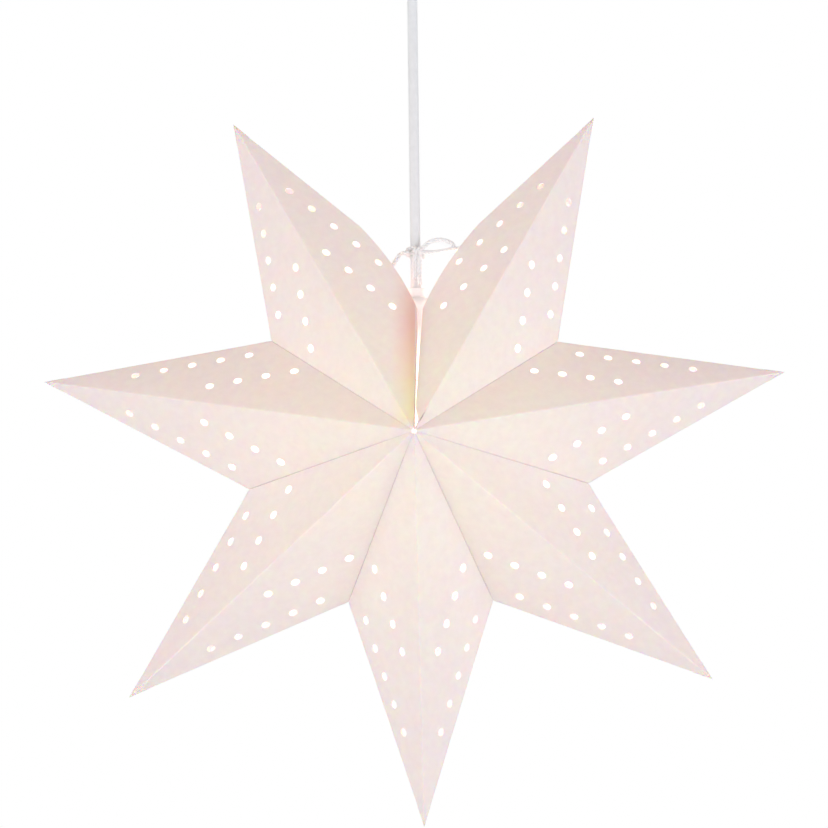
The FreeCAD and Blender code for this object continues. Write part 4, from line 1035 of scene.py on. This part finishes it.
# %% Soft lights
NEUTRAL = (1.0, 1.0, 1.0)
COOL = (0.90, 0.94, 1.0)
WARM = (1.0, 0.50, 0.20)
SOFT_LIGHTS = {
    "front": ((0.3, -2.9, -0.2), 1.8, 2.4, NEUTRAL),
    "right": ((2.4, -1.2, 0.1), 1.2, 9.2, COOL),
    "left": ((-2.4, -1.2, 0.1), 1.2, 10.8, NEUTRAL),
    "behind": ((0.0, 2.4, -0.4), 1.6, 5.0, NEUTRAL),
    "low_left": ((-1.7, -1.7, -1.2), 1.4, 14.8, NEUTRAL),
    "low_right": ((1.7, -1.7, -1.2), 1.4, 19.8, COOL),
    "overhead": ((0.0, -0.9, 1.5), 1.4, 4.5, WARM),
}


def area_light(name, place, size, power, colour):
    light = bpy.data.objects.new(name, bpy.data.lights.new(name, "AREA"))
    bpy.context.scene.collection.objects.link(light)
    light.data.energy = power
    light.data.size = size
    light.data.color = colour
    look = (CENTRE - Vector(place)).to_track_quat("-Z", "Y").to_matrix().to_4x4()
    light.matrix_world = Matrix.Translation(place) @ look
    return light


for name, (place, size, power, colour) in SOFT_LIGHTS.items():
    area_light(name, place, size, power, colour)
print(len(SOFT_LIGHTS), "soft lights")

# %% [markdown]
# The room looks white, but lights the star brightly from below and weakly from above. The floor is
# pale, and is lifted to white where it is looked at. Both tell by the kind of ray whether they are
# looked at: straight, in a reflection or through glass.

# %% Room and floor
ROOM_ABOVE = (0.36, 0.33, 0.32)
ROOM_BELOW = (1.04, 1.06, 1.12)
ROOM_SEEN = (1.0, 1.0, 1.0)
FLOOR_HEIGHT = -1.6
FLOOR_SIZE = 12
FLOOR_GLOW = 0.4


def make_surroundings(overhead, underfoot):
    """The room: white where it is looked at, a soft wash of light on the star."""
    world = bpy.data.worlds.new("room")
    world.use_nodes = True
    nodes, links = world.node_tree.nodes, world.node_tree.links

    def blend(factor, low, high):
        mix = nodes.new("ShaderNodeMix")
        mix.data_type = "RGBA"
        links.new(factor, mix.inputs[MIX_FACTOR])
        for socket, tone in ((MIX_FIRST, low), (MIX_SECOND, high)):
            if isinstance(tone, tuple):
                mix.inputs[socket].default_value = (*tone, 1)
            else:
                links.new(tone, mix.inputs[socket])
        return mix.outputs[MIX_RESULT]

    def either(first, second):
        most = nodes.new("ShaderNodeMath")
        most.operation = "MAXIMUM"
        links.new(first, most.inputs[0])
        links.new(second, most.inputs[1])
        return most.outputs["Value"]

    heading = nodes.new("ShaderNodeTexCoord")
    split = nodes.new("ShaderNodeSeparateXYZ")
    slope = nodes.new("ShaderNodeMapRange")
    slope.inputs["From Min"].default_value = -1.0
    links.new(heading.outputs["Generated"], split.inputs["Vector"])
    links.new(split.outputs["Z"], slope.inputs["Value"])
    path = nodes.new("ShaderNodeLightPath")
    seen = either(path.outputs["Is Camera Ray"],
                  either(path.outputs["Is Glossy Ray"], path.outputs["Is Transmission Ray"]))
    wash = blend(slope.outputs["Result"], underfoot, overhead)
    links.new(blend(seen, wash, ROOM_SEEN), nodes["Background"].inputs["Color"])
    bpy.context.scene.world = world


def make_floor_finish():
    """Pale floor that is lifted to white where it is looked at."""
    pale = plain_finish("pale_floor", (0.80, 0.80, 0.79), (0.83, 0.83, 0.82), 0.8,
                        4 * MM, 0.01 * MM)
    path = add_node(pale, "ShaderNodeLightPath")
    seen = path.outputs["Is Camera Ray"]
    for ray in ("Is Glossy Ray", "Is Transmission Ray"):
        either = add_node(pale, "ShaderNodeMath", operation="MAXIMUM")
        join(pale, seen, either.inputs[0])
        join(pale, path.outputs[ray], either.inputs[1])
        seen = either.outputs["Value"]
    lift = add_node(pale, "ShaderNodeMath", operation="MULTIPLY")
    join(pale, seen, lift.inputs[0])
    lift.inputs[1].default_value = FLOOR_GLOW
    shader = pale.node_tree.nodes["Principled BSDF"]
    shader.inputs["Emission Color"].default_value = (1, 1, 1, 1)
    join(pale, lift.outputs["Value"], shader.inputs["Emission Strength"])
    return pale


make_surroundings(ROOM_ABOVE, ROOM_BELOW)
bm = bmesh.new()
bmesh.ops.create_grid(bm, x_segments=1, y_segments=1, size=FLOOR_SIZE,
                      matrix=Matrix.Translation((0, 0, FLOOR_HEIGHT)))
floor = add_piece("floor", mesh_of(bm, "floor", make_floor_finish()))
print("floor", -FLOOR_HEIGHT, "m below the ceiling")
bpy.context.scene.view_settings.view_transform = "Standard"
